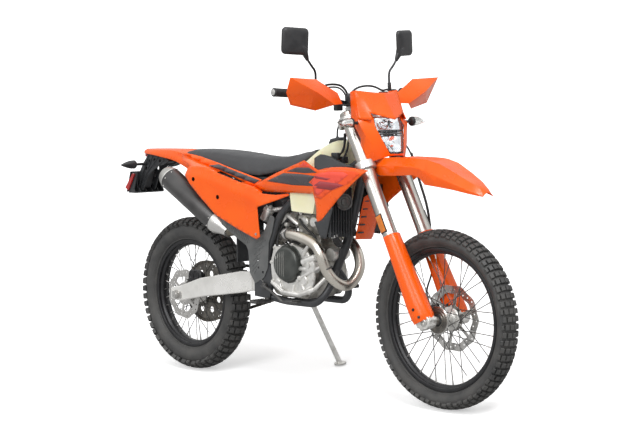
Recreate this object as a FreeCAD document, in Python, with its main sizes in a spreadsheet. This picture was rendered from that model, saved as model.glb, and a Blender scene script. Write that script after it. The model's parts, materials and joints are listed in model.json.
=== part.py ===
"""Enduro motorcycle, standing on its side stand.

Every piece is drawn on the upright machine: X forward, Y to the left, Z up, with
the origin on the ground below the rear axle. One placement then leans the whole
machine on to its stand and moves it over the origin of the finished part.
"""
import FreeCAD, Part
import Sketcher
import math
import os

Vector = FreeCAD.Vector
Rotation = FreeCAD.Rotation
Placement = FreeCAD.Placement

DRIVING_SIZES = [
    # whole machine
    ("wheelbase", 1487.0),
    ("rake_angle", 26.5),
    ("clamp_offset", 22.0),
    ("lug_offset", 28.0),
    ("fork_spacing", 192.0),
    ("lean_angle", 10.0),
    ("fit_gap", 0.3),
    ("running_gap", 0.3),
    # wheels
    ("front_tyre_radius", 344.0),
    ("front_crown_ring", 283.0),
    ("front_tyre_width", 90.0),
    ("front_bead_radius", 266.5),
    ("front_rim_inside", 40.6),
    ("rear_tyre_radius", 336.0),
    ("rear_crown_ring", 266.0),
    ("rear_tyre_width", 108.0),
    ("rear_bead_radius", 228.6),
    ("rear_rim_inside", 54.6),
    ("rim_wall", 4.0),
    ("rim_flange_height", 8.5),
    ("rim_well_depth", 12.0),
    ("spoke_count", 36.0),
    ("spoke_radius", 1.8),
    ("axle_radius", 12.0),
    ("spacer_gap", 1.0),
    ("front_hub_width", 76.0),
    ("rear_hub_width", 112.0),
    ("hub_flange_radius", 46.0),
    ("front_disc_radius", 130.0),
    ("rear_disc_radius", 110.0),
    ("disc_thickness", 3.0),
    ("front_disc_y", 45.5),
    ("rear_disc_y", 62.5),
    ("disc_slot_gap", 1.5),
    ("disc_bore_radius", 27.0),
    # drive
    ("chain_pitch", 15.875),
    ("rear_teeth", 52.0),
    ("front_teeth", 14.0),
    ("chain_y", 67.5),
    ("chain_width", 15.0),
    ("chain_depth", 14.0),
    ("sprocket_thickness", 6.0),
    ("sprocket_windows", 8.0),
    ("sprocket_window_ring", 86.0),
    ("sprocket_window_radius", 15.0),
    ("output_x", 655.0),
    ("output_z", 430.0),
    # swingarm
    ("pivot_x", 575.0),
    ("pivot_z", 430.0),
    ("arm_inside", 79.0),
    ("arm_wall", 28.0),
    # frame
    ("head_tube_radius", 30.0),
    ("stem_radius", 16.0),
    ("head_tube_low", 690.0),
    ("head_tube_high", 825.0),
    ("radiator_inside", 66.0),
    ("radiator_outside", 148.0),
    ("radiator_depth", 44.0),
    ("radiator_height", 190.0),
    ("lower_clamp_height", 660.0),
    ("upper_clamp_height", 855.0),
    ("clamp_thickness", 34.0),
    ("spar_radius", 15.0),
    ("rail_radius", 15.0),
    ("subframe_radius", 9.0),
    ("shock_spring_radius", 31.0),
    ("shock_foot_pin", 8.0),
    ("shock_top_pin", 12.0),
    ("frame_plate_inside", 103.0),
    ("frame_plate_wall", 14.0),
    # engine
    ("engine_right", 102.7),
    ("engine_left", 95.0),
    ("crankcase_low", 378.0),
    ("crankcase_high", 548.0),
    ("cylinder_half_width", 68.0),
    ("head_high", 748.0),
    ("clutch_cover_radius", 73.0),
    ("clutch_cover_face", 142.0),
    # exhaust
    ("header_radius", 21.0),
    ("silencer_radius", 50.0),
    # fork
    ("fork_tube_radius", 29.0),
    ("fork_slider_radius", 24.0),
    ("lug_half", 22.0),
    ("fork_tube_low", 355.0),
    ("fork_tube_high", 892.0),
    # bars
    ("bar_radius", 11.0),
    ("bar_half_width", 408.0),
    ("grip_radius", 17.0),
    ("grip_length", 125.0),
    ("hose_radius", 3.5),
    ("mirror_width", 115.0),
    ("mirror_height", 105.0),
    ("mirror_depth", 22.0),
    # plastics
    ("shell_wall", 3.0),
    ("tail_arm_half", 38.0),
    ("seat_front_x", 830.0),
    ("seat_rear_x", 0.0),
    ("footpeg_length", 84.0),
    ("stand_leg_radius", 11.0),
]

doc = FreeCAD.newDocument("enduro")
sheet = doc.addObject("Spreadsheet::Sheet", "sizes")
for row, (alias, value) in enumerate(DRIVING_SIZES, start=1):
    sheet.set("A%d" % row, alias.replace("_", " "))
    sheet.set("B%d" % row, repr(value))
    sheet.setAlias("B%d" % row, alias)
doc.recompute()


def size(alias):
    return float(getattr(sheet, alias))


def value_of(formula):
    """The number that a formula of the sheet gives now."""
    result = sheet.evalExpression(formula)
    return float(getattr(result, "Value", result))


pieces = {}


def keep(node, item):
    item.Label = node
    pieces[node] = item
    return item


def shaped(node, shape):
    """A sub-part whose form has no ready-made feature: its shape is set here."""
    item = doc.addObject("Part::Feature", node)
    item.Shape = shape
    return keep(node, item)


# Places on the upright machine
rake = math.radians(size("rake_angle"))
FORWARD = Vector(math.cos(rake), 0, math.sin(rake))
UPWARD = Vector(-math.sin(rake), 0, math.cos(rake))
FRONT_AXLE = Vector(size("wheelbase"), 0, size("front_tyre_radius"))
REAR_AXLE = Vector(0, 0, size("rear_tyre_radius"))
STEER_FOOT = FRONT_AXLE - FORWARD * (size("clamp_offset") + size("lug_offset"))
STEER = Placement(STEER_FOOT, Rotation(Vector(0, 1, 0), -size("rake_angle")))
PIVOT = Vector(size("pivot_x"), 0, size("pivot_z"))
OUTPUT = Vector(size("output_x"), 0, size("output_z"))
SIDES = (("left", 1), ("right", -1))
GAP = size("fit_gap")


def fork_line_x(z):
    """Middle of the fork legs, seen from the side, at height z."""
    foot = FRONT_AXLE - FORWARD * size("lug_offset")
    return foot.x - (z - foot.z) * math.tan(rake)


def steering_point(forward, y, up):
    """A point given from the foot of the steering axis, square to it, across and along it."""
    point = STEER_FOOT + FORWARD * forward + UPWARD * up
    return (point.x, y, point.z)


# Features whose sizes follow the sheet
ALONG_Y = Rotation(Vector(1, 0, 0), -90)


def rod(name, x, z, y_from, length, radius):
    """A cylinder along Y: every argument after the name is a formula of the sheet."""
    item = doc.addObject("Part::Cylinder", name)
    item.Placement = Placement(Vector(0, 0, 0), ALONG_Y)
    item.setExpression("Placement.Base.x", x)
    item.setExpression("Placement.Base.y", y_from)
    item.setExpression("Placement.Base.z", z)
    item.setExpression("Height", length)
    item.setExpression("Radius", radius)
    return item


def upright(name, x, y, z, radius):
    """A cylinder along Z between the pair of formulas z."""
    item = doc.addObject("Part::Cylinder", name)
    item.setExpression("Placement.Base.x", x)
    item.setExpression("Placement.Base.y", y)
    item.setExpression("Placement.Base.z", z[0])
    item.setExpression("Height", "(%s) - (%s)" % (z[1], z[0]))
    item.setExpression("Radius", radius)
    return item


def slab(name, x, y, z):
    """A box between pairs of formulas."""
    item = doc.addObject("Part::Box", name)
    for axis, side, (low, high) in (("x", "Length", x), ("y", "Width", y), ("z", "Height", z)):
        item.setExpression("Placement.Base." + axis, low)
        item.setExpression(side, "(%s) - (%s)" % (high, low))
    return item


def post(name, kind, foot, direction, **formulas):
    """A cylinder or cone that stands on a point and runs in a direction."""
    item = doc.addObject("Part::" + kind, name)
    item.Placement = Placement(foot, Rotation(Vector(0, 0, 1), direction))
    for prop, formula in formulas.items():
        item.setExpression(prop, formula)
    return item


def cut(name, base, tool):
    item = doc.addObject("Part::Cut", name)
    item.Base = base
    item.Tool = tool
    return item


def joined(name, items):
    item = doc.addObject("Part::MultiFuse", name)
    item.Shapes = items
    return item


def grouped(name, items):
    """Like solids of one node, which don't touch."""
    item = doc.addObject("Part::Compound", name)
    item.Links = items
    return item


def pipe(name, points, radius):
    """A round bar swept along straight runs and tangent arcs."""
    path = rounded_path(points)
    spine = doc.addObject("Part::Feature", name + "_path")
    spine.Shape = path
    ring = doc.addObject("Part::Circle", name + "_ring")
    ring.setExpression("Radius", radius)
    first = path.Edges[0]
    heading = first.tangentAt(first.FirstParameter)
    ring.Placement = Placement(Vector(*points[0]), Rotation(Vector(0, 0, 1), heading))
    item = doc.addObject("Part::Sweep", name)
    item.Sections = [ring]
    item.Spine = (spine, [])
    item.Solid = True
    return item


def drawn(body, name, plane, corners, arcs=()):
    """A closed sketch whose corners are pairs of formulas; arcs gives a radius to an edge by number."""
    arcs = dict(arcs)
    sketch = body.newObject("Sketcher::SketchObject", name)
    ground = next(item for item in body.Origin.OriginFeatures if item.Role == plane)
    sketch.AttachmentSupport = [(ground, "")]
    sketch.MapMode = "FlatFace"
    spots = [Vector(value_of(first), value_of(second), 0) for first, second in corners]
    count = len(spots)
    for index, spot in enumerate(spots):
        after = spots[(index + 1) % count]
        edge = Part.LineSegment(spot, after)
        if index in arcs:
            chord = after - spot
            outward = Vector(chord.y, -chord.x, 0).normalize()
            radius = value_of(arcs[index])
            rise = radius - math.sqrt(radius ** 2 - (chord.Length / 2) ** 2)
            edge = Part.Arc(spot, (spot + after) * 0.5 + outward * rise, after)
        sketch.addGeometry(edge, False)
    for index in range(count):
        sketch.addConstraint(Sketcher.Constraint("Coincident", index, 2, (index + 1) % count, 1))
        for kind, letter, formula, number in (("DistanceX", "x", corners[index][0], spots[index].x),
                                              ("DistanceY", "y", corners[index][1], spots[index].y)):
            rule = Sketcher.Constraint(kind, -1, 1, index, 1, number)
            bind(sketch, rule, "%s%d" % (letter, index), formula)
    for index, formula in arcs.items():
        bind(sketch, Sketcher.Constraint("Radius", index, value_of(formula)), "arc%d" % index, formula)
    return sketch


def bind(sketch, rule, label, formula):
    """Add a named dimension to a sketch and tie it to the sheet."""
    sketch.renameConstraint(sketch.addConstraint(rule), label)
    sketch.setExpression("Constraints." + label, formula)


def turned(node, corners, arcs=()):
    """A body turned about Y from an outline in (y, radius)."""
    body = doc.addObject("PartDesign::Body", node)
    section = drawn(body, node + "_section", "YZ_Plane", corners, arcs)
    revolution = body.newObject("PartDesign::Revolution", node + "_turned")
    revolution.Profile = section
    revolution.ReferenceAxis = (section, ["H_Axis"])
    revolution.Angle = 360
    return body


def padded(body, name, corners, y_low, y_high):
    """Add a flat plate to a body: corners in (x, z), thickness between two formulas of y."""
    outline = drawn(body, name + "_outline", "XZ_Plane", corners)
    outline.setExpression("AttachmentOffset.Base.z", "-(%s)" % y_high)
    item = body.newObject("PartDesign::Pad", name)
    item.Profile = outline
    item.setExpression("Length", "(%s) - (%s)" % (y_high, y_low))
    return item


def texts(points):
    """Number pairs as formulas."""
    return [(repr(float(first)), repr(float(second))) for first, second in points]


# Shape helpers
def across(x, y, z, radius, length):
    """A cylinder along Y from y to y + length."""
    return Part.makeCylinder(radius, length, Vector(x, y, z), Vector(0, 1, 0))


def block(x0, x1, y0, y1, z0, z1):
    return Part.makeBox(x1 - x0, y1 - y0, z1 - z0, Vector(x0, y0, z0))


def on_side(side, x0, x1, near, far, z0, z1):
    """A block whose distances from the middle plane are near and far, on the left or the right."""
    y0, y1 = sorted((side * near, side * far))
    return block(x0, x1, y0, y1, z0, z1)


def face_of(points):
    return Part.Face(Part.makePolygon(list(points) + [points[0]]))


def plate(outline, y0, y1):
    """A flat plate: an outline in X and Z, from y0 to y1."""
    face = face_of([Vector(x, y0, z) for x, z in outline])
    return face.extrude(Vector(0, y1 - y0, 0))


def yawed_plate(outline, y_at_x0, wall, yaw):
    """A plate turned about Z; its inner face passes through y_at_x0 at X = 0."""
    side = 1 if y_at_x0 > 0 else -1
    slant = math.tan(math.radians(yaw)) * side
    near = [Vector(x, y_at_x0 + slant * x, z) for x, z in outline]
    return face_of(near).extrude(Vector(0, wall * side, 0))


def loft(sections):
    wires = [Part.makePolygon(list(points) + [points[0]]) for points in sections]
    return Part.makeLoft(wires, True, True)


def rounded_path(points, largest=1e6):
    """Straight runs joined by tangent arcs."""
    points = [Vector(*point) for point in points]
    edges = []
    start = points[0]
    for before, corner, after in zip(points, points[1:], points[2:]):
        run_in = corner - before
        run_out = after - corner
        turn = run_in.getAngle(run_out)
        reach = 0.45 * min(run_in.Length, run_out.Length)
        radius = min(largest, reach / math.tan(turn / 2))
        reach = radius * math.tan(turn / 2)
        arc_in = corner - Vector(run_in).normalize() * reach
        arc_out = corner + Vector(run_out).normalize() * reach
        chord_middle = (arc_in + arc_out) * 0.5
        middle = chord_middle + (corner - chord_middle).normalize() * bulge(radius, turn)
        edges.append(Part.LineSegment(start, arc_in).toShape())
        edges.append(Part.Arc(arc_in, middle, arc_out).toShape())
        start = arc_out
    edges.append(Part.LineSegment(start, points[-1]).toShape())
    return Part.Wire(edges)


def bulge(radius, turn):
    """How far an arc stands out past its own chord."""
    return radius * (1 - math.cos(turn / 2))


def tube(points, radius, largest=1e6):
    path = rounded_path(points, largest)
    start = path.Edges[0].Vertexes[0].Point
    direction = path.Edges[0].tangentAt(path.Edges[0].FirstParameter)
    circle = Part.Wire(Part.makeCircle(radius, start, direction))
    return path.makePipeShell([circle], True, False)


def fuse(shapes):
    result = shapes[0].fuse(shapes[1:]) if len(shapes) > 1 else shapes[0]
    return result.removeSplitter()


def mirrored(shape):
    return shape.mirror(Vector(0, 0, 0), Vector(0, 1, 0))


def steered(shape):
    """Move a shape from the steering axis frame on to the upright machine."""
    return shape.transformed(STEER.toMatrix())


# Wheels
def at_axle(end):
    """Formulas of the axle's x and z."""
    if end == "front":
        return ("sizes.wheelbase", "sizes.front_tyre_radius")
    return ("0", "sizes.rear_tyre_radius")


def make_tyre(end):
    """A closed tyre: bead, sidewall and round crown."""
    names = {"end": end}
    half = "sizes.%(end)s_tyre_width / 2" % names
    foot = "sizes.%(end)s_rim_inside / 2 - sizes.fit_gap" % names
    bead = "sizes.%(end)s_bead_radius + sizes.fit_gap" % names
    flange = "sizes.%(end)s_bead_radius + sizes.rim_flange_height" % names
    crown = "sizes.%(end)s_tyre_radius - sizes.%(end)s_crown_ring" % names
    shoulder = "sizes.%s_crown_ring + sqrt((%s) ^ 2 - (%s) ^ 2)" % (end, crown, half)
    middle = "((%s) + (%s)) / 2" % (shoulder, flange)
    corners = [(foot, bead), (foot, flange), (half, middle), (half, shoulder),
               ("-" + half, shoulder), ("-" + half, middle), ("-(%s)" % foot, flange),
               ("-(%s)" % foot, bead)]
    return turned(end + "_tyre", corners, {3: crown})


def make_rim(end):
    """Flanges, bead ledges and the well between them."""
    half = "sizes.%s_rim_inside / 2" % end
    outer = half + " + sizes.rim_wall"
    bead = "sizes.%s_bead_radius" % end
    flange = bead + " + sizes.rim_flange_height"
    well = bead + " - sizes.rim_well_depth"
    ledge = "sizes.%s_rim_inside * 0.31" % end
    bed = "sizes.%s_rim_inside * 0.225" % end
    under_bead = bead + " - sizes.rim_wall"
    under_well = well + " - sizes.rim_wall"
    upper = [(half, flange), (half, bead), (ledge, bead), (bed, well)]
    lower = [(bed, under_well), (ledge + " + sizes.rim_wall", under_bead), (outer, under_bead),
             (outer, flange)]
    far_upper = [("-(%s)" % y, r) for y, r in reversed(upper)]
    far_lower = [("-(%s)" % y, r) for y, r in reversed(lower)]
    return turned(end + "_rim", upper + far_upper + far_lower + lower)


def make_disc(end, side):
    x, z = at_axle(end)
    start = "%d * sizes.%s_disc_y - sizes.disc_thickness / 2" % (side, end)
    outer = rod(end + "_disc_outside", x, z, start, "sizes.disc_thickness", "sizes.%s_disc_radius" % end)
    inner = rod(end + "_disc_inside", x, z, start, "sizes.disc_thickness", "sizes.disc_bore_radius")
    return cut(end + "_disc", outer, inner)


def make_wheel(end, axle, disc_side):
    for part, make in (("_tyre", make_tyre), ("_rim", make_rim)):
        body = make(end)
        body.Placement = Placement(axle, Rotation())
        keep(end + part, body)
    shaped(end + "_hub", hub_shape(end, disc_side).translated(axle))
    keep(end + "_disc", make_disc(end, disc_side))


def hub_shape(end, disc_side):
    """Barrel, two spoke flanges, a disc seat and the laced spokes, on the wheel axis."""
    half = size(end + "_hub_width") / 2
    flange = size("hub_flange_radius")
    flange_wall = 6.0
    flange_y = 30.0
    seat_wall = 8.0
    disc_seat = size(end + "_disc_y") - size("disc_thickness") / 2
    reach = {-disc_side: half}
    reach[disc_side] = disc_seat
    if end == "rear":
        reach[-disc_side] = size("chain_y") - size("sprocket_thickness") / 2
    solids = [across(0, -reach[-1], 0, 22, reach[-1] + reach[1])]
    for side in (1, -1):
        solids.append(across(0, side * flange_y - flange_wall / 2, 0, flange, flange_wall))
        if end == "rear" or side == disc_side:
            start = min(side * reach[side], side * (reach[side] - seat_wall))
            solids.append(across(0, start, 0, flange + 6, seat_wall))
    rim_foot = size(end + "_bead_radius") - size("rim_well_depth") - size("rim_wall")
    count = int(size("spoke_count"))
    lacing = math.radians(58)
    start_radius = flange - 5
    tip = rim_foot - 0.8
    for index in range(count):
        side = 1 if index % 2 else -1
        lead = 1 if index % 4 < 2 else -1
        angle = 2 * math.pi * index / count
        away = angle + lead * lacing
        start = Vector(start_radius * math.cos(away), side * flange_y, start_radius * math.sin(away))
        stop = Vector(tip * math.cos(angle), side * 4, tip * math.sin(angle))
        run = stop - start
        solids.append(Part.makeCylinder(size("spoke_radius"), run.Length, start, run))
    body = fuse(solids)
    bore = across(0, -200, 0, size("axle_radius") + size("running_gap"), 400)
    return body.cut(bore)


def make_rear_sprocket():
    """A toothless blank on the chain's pitch circle, with round windows."""
    x, z = at_axle("rear")
    wall = "sizes.sprocket_thickness"
    start = "sizes.chain_y - sizes.sprocket_thickness / 2"
    radius = "sizes.chain_pitch / 2 / sin(180deg / sizes.rear_teeth) - 0.5"
    blank = rod("sprocket_blank", x, z, start, wall, radius)
    holes = [rod("sprocket_bore", x, z, start, wall, "sizes.disc_bore_radius")]
    for index in range(int(size("sprocket_windows"))):
        turn = "%d * 360deg / sizes.sprocket_windows" % index
        holes.append(rod("sprocket_window_%d" % index,
                         "%s + sizes.sprocket_window_ring * cos(%s)" % (x, turn),
                         "%s + sizes.sprocket_window_ring * sin(%s)" % (z, turn),
                         start, wall, "sizes.sprocket_window_radius"))
    keep("rear_sprocket", cut("rear_sprocket", blank, joined("sprocket_holes", holes)))


def loop_face(rear_radius, front_radius, y):
    """The outline of a belt round the rear axle and the output shaft."""
    span = Vector(OUTPUT.x - REAR_AXLE.x, 0, OUTPUT.z - REAR_AXLE.z)
    tilt = math.atan2(span.z, span.x)
    spread = math.acos((rear_radius - front_radius) / span.Length)

    def point(centre, radius, angle):
        return Vector(centre.x + radius * math.cos(angle), y, centre.z + radius * math.sin(angle))

    high = tilt + spread
    low = tilt - spread
    edges = [
        Part.LineSegment(point(REAR_AXLE, rear_radius, high), point(OUTPUT, front_radius, high)).toShape(),
        Part.Arc(point(OUTPUT, front_radius, high), point(OUTPUT, front_radius, tilt),
                 point(OUTPUT, front_radius, low)).toShape(),
        Part.LineSegment(point(OUTPUT, front_radius, low), point(REAR_AXLE, rear_radius, low)).toShape(),
        Part.Arc(point(REAR_AXLE, rear_radius, low), point(REAR_AXLE, rear_radius, tilt + math.pi),
                 point(REAR_AXLE, rear_radius, high)).toShape(),
    ]
    return Part.Face(Part.Wire(edges))


def pitch_radius(teeth):
    return size("chain_pitch") / 2 / math.sin(math.pi / size(teeth))


def make_chain():
    depth = size("chain_depth") / 2
    width = size("chain_width")
    start = size("chain_y") - width / 2
    rear = pitch_radius("rear_teeth")
    front = pitch_radius("front_teeth")
    outside = loop_face(rear + depth, front + depth, start).extrude(Vector(0, width, 0))
    inside = loop_face(rear - depth, front - depth, start).extrude(Vector(0, width, 0))
    groove_width = size("sprocket_thickness") + 4
    groove = across(0, size("chain_y") - groove_width / 2, 0, rear + 4.5, groove_width)
    shaped("drive_chain", outside.cut(inside).cut(groove.translated(REAR_AXLE)))


# Swingarm, rear axle, rear brake
SHOCK_TOP = Vector(690, 0, 738)
SHOCK_FOOT = Vector(505, 0, 470)


def arm_sections():
    """Stations along the arm: x, lowest z, highest z."""
    axle_z = REAR_AXLE.z
    return [(-42, axle_z - 22, axle_z + 30), (20, axle_z - 26, axle_z + 40),
            (160, axle_z + 2, axle_z + 84), (430, axle_z + 40, axle_z + 132),
            (PIVOT.x - 25, PIVOT.z - 34, PIVOT.z + 36), (PIVOT.x + 32, PIVOT.z - 26, PIVOT.z + 26)]


def make_swingarm():
    inside = size("arm_inside")
    outside = inside + size("arm_wall")
    solids = []
    slim = size("frame_plate_inside") - 3
    for _, side in SIDES:
        sections = []
        for x, low, high in arm_sections():
            outer = outside if x < 500 else slim
            sections.append([Vector(x, side * inside, low), Vector(x, side * outer, low),
                             Vector(x, side * outer, high), Vector(x, side * inside, high)])
        solids.append(loft(sections))
        solids.append(plate([(440, 420), (440, 446), (488, 488), (520, 488), (524, 456)],
                            side * (16 + GAP), side * 30))
    solids.append(across(SHOCK_FOOT.x, -30, SHOCK_FOOT.z, size("shock_foot_pin"), 60))
    solids.append(block(398, 470, -inside - 5, inside + 5, 392, 446))
    solids.append(across(PIVOT.x, -inside - 5, PIVOT.z, 20, 2 * inside + 10))
    body = fuse(solids)
    pivot_bore = across(PIVOT.x, -200, PIVOT.z, size("axle_radius") + size("running_gap"), 400)
    axle_bore = across(REAR_AXLE.x, -200, REAR_AXLE.z, size("axle_radius") + GAP, 400)
    shaped("swingarm", body.cut(pivot_bore).cut(axle_bore))


def make_rear_axle():
    """Axle rod with its nuts and the spacers beside the hub."""
    x, z = at_axle("rear")
    outside = "sizes.arm_inside + sizes.arm_wall"
    end = "(%s + 14)" % outside
    parts = [rod("rear_axle_rod", x, z, "-" + end, "2 * " + end, "sizes.axle_radius"),
             rod("rear_nut_left", x, z, outside + " + sizes.fit_gap", "10", "19"),
             rod("rear_nut_right", x, z, "-(%s + sizes.fit_gap + 10)" % outside, "10", "19")]
    inside = "sizes.arm_inside - sizes.fit_gap"
    left = "sizes.chain_y + sizes.sprocket_thickness / 2 + sizes.spacer_gap"
    right = "sizes.rear_disc_y + sizes.disc_thickness / 2 + sizes.spacer_gap"
    parts.append(rod("rear_spacer_left", x, z, left, "%s - (%s)" % (inside, left), "18"))
    parts.append(rod("rear_spacer_right", x, z, "-(%s)" % inside, "%s - (%s)" % (inside, right), "18"))
    keep("rear_axle", joined("rear_axle", parts))


def slotted(name, body, x, z, side, end):
    """A caliper body with the slot that its disc turns in."""
    slot = "(sizes.disc_thickness + 2 * sizes.disc_slot_gap)"
    room = rod(name + "_slot", x, z, "%d * sizes.%s_disc_y - %s / 2" % (side, end, slot), slot,
               "sizes.%s_disc_radius + sizes.disc_slot_gap * 2" % end)
    return cut(name, body, room)


def make_rear_caliper():
    """The caliper on its bracket, on the inner side of the right arm."""
    x, z = at_axle("rear")
    inner = "-(sizes.arm_inside - sizes.fit_gap)"
    body = slab("rear_caliper_block", ("42", "134"), (inner, "-46"), (z + " + 58", z + " + 114"))
    keep("rear_caliper", slotted("rear_caliper", body, x, z, -1, "rear"))


# Frame
def spar_points(side):
    return [(1108, side * 16, 975), (1056, side * 42, 920), (905, side * 62, 848),
            (765, side * 68, 806), (672, side * 100, 715), (606, side * 101, 560),
            (600, side * 101, 520)]


def rail_points(side):
    return [(902, 0, 500), (914, side * 34, 452), (904, side * 68, 398), (862, side * 84, 360),
            (690, side * 89, 360), (628, side * 101, 372)]


def head_axis_point(height):
    return STEER_FOOT + UPWARD * height


def make_frame():
    low = size("head_tube_low")
    high = size("head_tube_high")
    outer = size("head_tube_radius")
    solids = [steered(Part.makeCylinder(outer, high - low, Vector(0, 0, low)))]
    solids.append(steered(block(-74, -18, -13, 13, low + 12, high - 3)))
    neck = head_axis_point(low + 18) - FORWARD * 66
    solids.append(tube([(neck.x, 0, neck.z), (975, 0, 628), (898, 0, 492)], size("rail_radius") + 3))
    wall_from = size("frame_plate_inside")
    wall_to = wall_from + size("frame_plate_wall")
    outline = [(530, 372), (622, 366), (640, 440), (612, 560), (582, 568), (548, 470), (530, 450)]
    for _, side in SIDES:
        solids.append(tube(spar_points(side), size("spar_radius")))
        solids.append(tube(rail_points(side), size("rail_radius")))
        solids.append(plate(outline, side * wall_from, side * wall_to))
        panel_lug = panel_face_y(586) - GAP
        solids.append(across(578, min(side * 100, side * panel_lug), 640, 8, panel_lug - 100))
        solids.append(on_side(side, 574, 634, 96, 106, 632, 648))
        bracket = size("radiator_inside") - GAP
        solids.append(on_side(side, 984, 998, 48, bracket, 800, 882))
    solids.append(across(SHOCK_TOP.x, -92, SHOCK_TOP.z, size("shock_top_pin"), 184))
    solids.append(across(690, -88, 358, 10, 176))
    solids.append(block(876 + GAP, 900, -22, 22, 470, 506))
    solids.append(stand_pin())
    solids.append(across(PIVOT.x, -wall_to - 6, PIVOT.z, size("axle_radius"), 2 * (wall_to + 6)))
    body = fuse(solids)
    bore = steered(Part.makeCylinder(size("stem_radius") + size("running_gap"), high - low + 200,
                                     Vector(0, 0, low - 100)))
    shaped("main_frame", body.cut(bore))


def make_subframe():
    """Rear rails with the airbox and the mudguard panel ahead of the rear wheel."""
    solids = []
    for _, side in SIDES:
        upper = [(728, side * 82, 790), (640, side * 76, 822), (450, side * 76, 850),
                 (120, side * 72, 905), (-120, side * 56, 959.7)]
        lower = [(580, side * 84, 700), (430, side * 84, 744), (250, side * 72, 880)]
        solids.append(tube(upper, size("subframe_radius")))
        solids.append(tube(lower, size("subframe_radius")))
    solids.append(block(372, 600, -82, 82, 770, seat_low(540) - GAP))
    solids.append(block(372, 378, -76, 76, 500, 790))
    solids.append(block(540, 600, -92, -70, 690, 790))
    solids.append(block(540, 600, 70, 92, 690, 790))
    solids.append(block(400, 560, 70, panel_face_y(560) - GAP, 660, 790))
    solids.append(tube([(-108, -56, 957), (-108, 56, 957)], size("subframe_radius")))
    body = fuse(solids)
    for _, side in SIDES:
        body = body.cut(tube(spar_points(side), size("spar_radius") + GAP))
    shaped("subframe", body)


def make_shock():
    """Coil-over unit from the frame's cross tube down to the pin on the swingarm."""
    axis = (SHOCK_TOP - SHOCK_FOOT).normalize()
    length = repr((SHOCK_TOP - SHOCK_FOOT).Length)
    foot_x, foot_z = repr(SHOCK_FOOT.x), repr(SHOCK_FOOT.z)
    top_x, top_z = repr(SHOCK_TOP.x), repr(SHOCK_TOP.z)
    spring = post("shock_spring", "Cylinder", SHOCK_FOOT + axis * 40, axis,
                  Radius="sizes.shock_spring_radius", Height=length + " - 110")
    shaft = post("shock_shaft", "Cylinder", SHOCK_FOOT, axis, Radius="9", Height=length + " - 16")
    eyes = [rod("shock_foot_eye", foot_x, foot_z, "-16", "32", "14"),
            rod("shock_top_eye", top_x, top_z, "-16", "32", "22")]
    pins = [rod("shock_foot_room", foot_x, foot_z, "-60", "120", "sizes.shock_foot_pin + sizes.fit_gap"),
            rod("shock_top_room", top_x, top_z, "-60", "120", "sizes.shock_top_pin + sizes.fit_gap")]
    body = joined("shock_body", [spring, shaft] + eyes)
    keep("rear_shock", cut("rear_shock", body, joined("shock_pins", pins)))


# Engine and exhaust
def make_engine():
    """One closed block: crankcase, gearbox, cylinder, head and the side covers."""
    low, high = "sizes.crankcase_low", "sizes.crankcase_high"
    head = "sizes.head_high"
    half = "sizes.cylinder_half_width"
    narrow = "(sizes.chain_y - sizes.chain_width / 2 - 6)"
    body = doc.addObject("PartDesign::Body", "engine")
    nose = [("836", low), ("868", "420"), ("876", "500"), ("862", high)]
    tail = [("640", high), ("612", "500"), ("612", "420"), ("640", low + " + 8"), ("700", low)]
    padded(body, "crankcase", nose + tail, "-sizes.engine_right", narrow)
    padded(body, "left_case", nose + [("716", high), ("716", low)], narrow + " - 1", "sizes.engine_left")
    padded(body, "cylinder", [("752", high + " - 2"), ("748", head), ("872", head + " + 8"), ("908", "640"),
                              ("880", high + " - 2")], "-" + half, half)
    cover = "(sizes.clutch_cover_face - sizes.engine_right)"
    pitch_circle = "sizes.chain_pitch / 2 / sin(180deg / sizes.front_teeth)"
    shaft = pitch_circle + " - sizes.chain_depth / 2 - sizes.fit_gap"
    output = ("sizes.output_x", "sizes.output_z")
    chain_from = "(sizes.chain_y - sizes.chain_width / 2)"
    rounds = [
        rod("clutch_cover", "738", "513", "-sizes.clutch_cover_face", cover + " + 1",
            "sizes.clutch_cover_radius"),
        rod("flywheel_cover", "800", "462", "sizes.engine_left - 1", "22", "62"),
        rod("output_neck", *output, narrow + " - 1", "%s - %s + 3" % (chain_from, narrow), "14"),
        rod("output_wheel", *output, chain_from + " + 2", "sizes.chain_width - 4", shaft),
    ]
    keep("engine", joined("engine", [body] + rounds))


def header_points():
    return [(892, 16, 655), (922, 46, 622), (966, 52, 572), (1000, 34, 512), (1008, -6, 462),
            (1000, -52, 440), (978, -100, 474), (948, -124, 550), (908, -132, 606),
            (812, -134, 640), (730, -114, 640), (654, -64, 614)]


def make_header():
    """The pipe from the head round the front of the engine, cut to the face of the head."""
    doc.recompute()
    body = tube(header_points(), size("header_radius"))
    shaped("exhaust_header", body.cut(pieces["engine"].Shape))


def silencer_ends():
    return Vector(298, -108, 666), Vector(-14, -118, 848)


def make_silencer():
    """Silencer can, its tapered ends and the pipe that meets the header."""
    front, rear = silencer_ends()
    axis = rear - front
    length = axis.Length
    axis.normalize()
    nose_length = 70
    can = post("silencer_can", "Cylinder", front, axis, Radius="sizes.silencer_radius", Height=repr(length))
    tail = post("silencer_tail", "Cone", rear, axis, Radius1="sizes.silencer_radius",
                Radius2="sizes.silencer_radius * 0.72", Height="34")
    nose = post("silencer_nose", "Cone", front - axis * nose_length, axis, Radius1="sizes.header_radius + 3",
                Radius2="sizes.silencer_radius", Height=repr(nose_length))
    nose_tip = front - axis * (nose_length - 4)
    before, last = [Vector(*point) for point in header_points()[-2:]]
    run = (last - before).normalize()
    start = last + run * GAP
    link = pipe("silencer_link", [tuple(start), tuple(start + run * 16), (590, -58, 602),
                                  tuple(nose_tip - axis * 90), tuple(nose_tip)], "sizes.header_radius")
    keep("silencer", joined("silencer", [can, tail, nose, link]))


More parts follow.
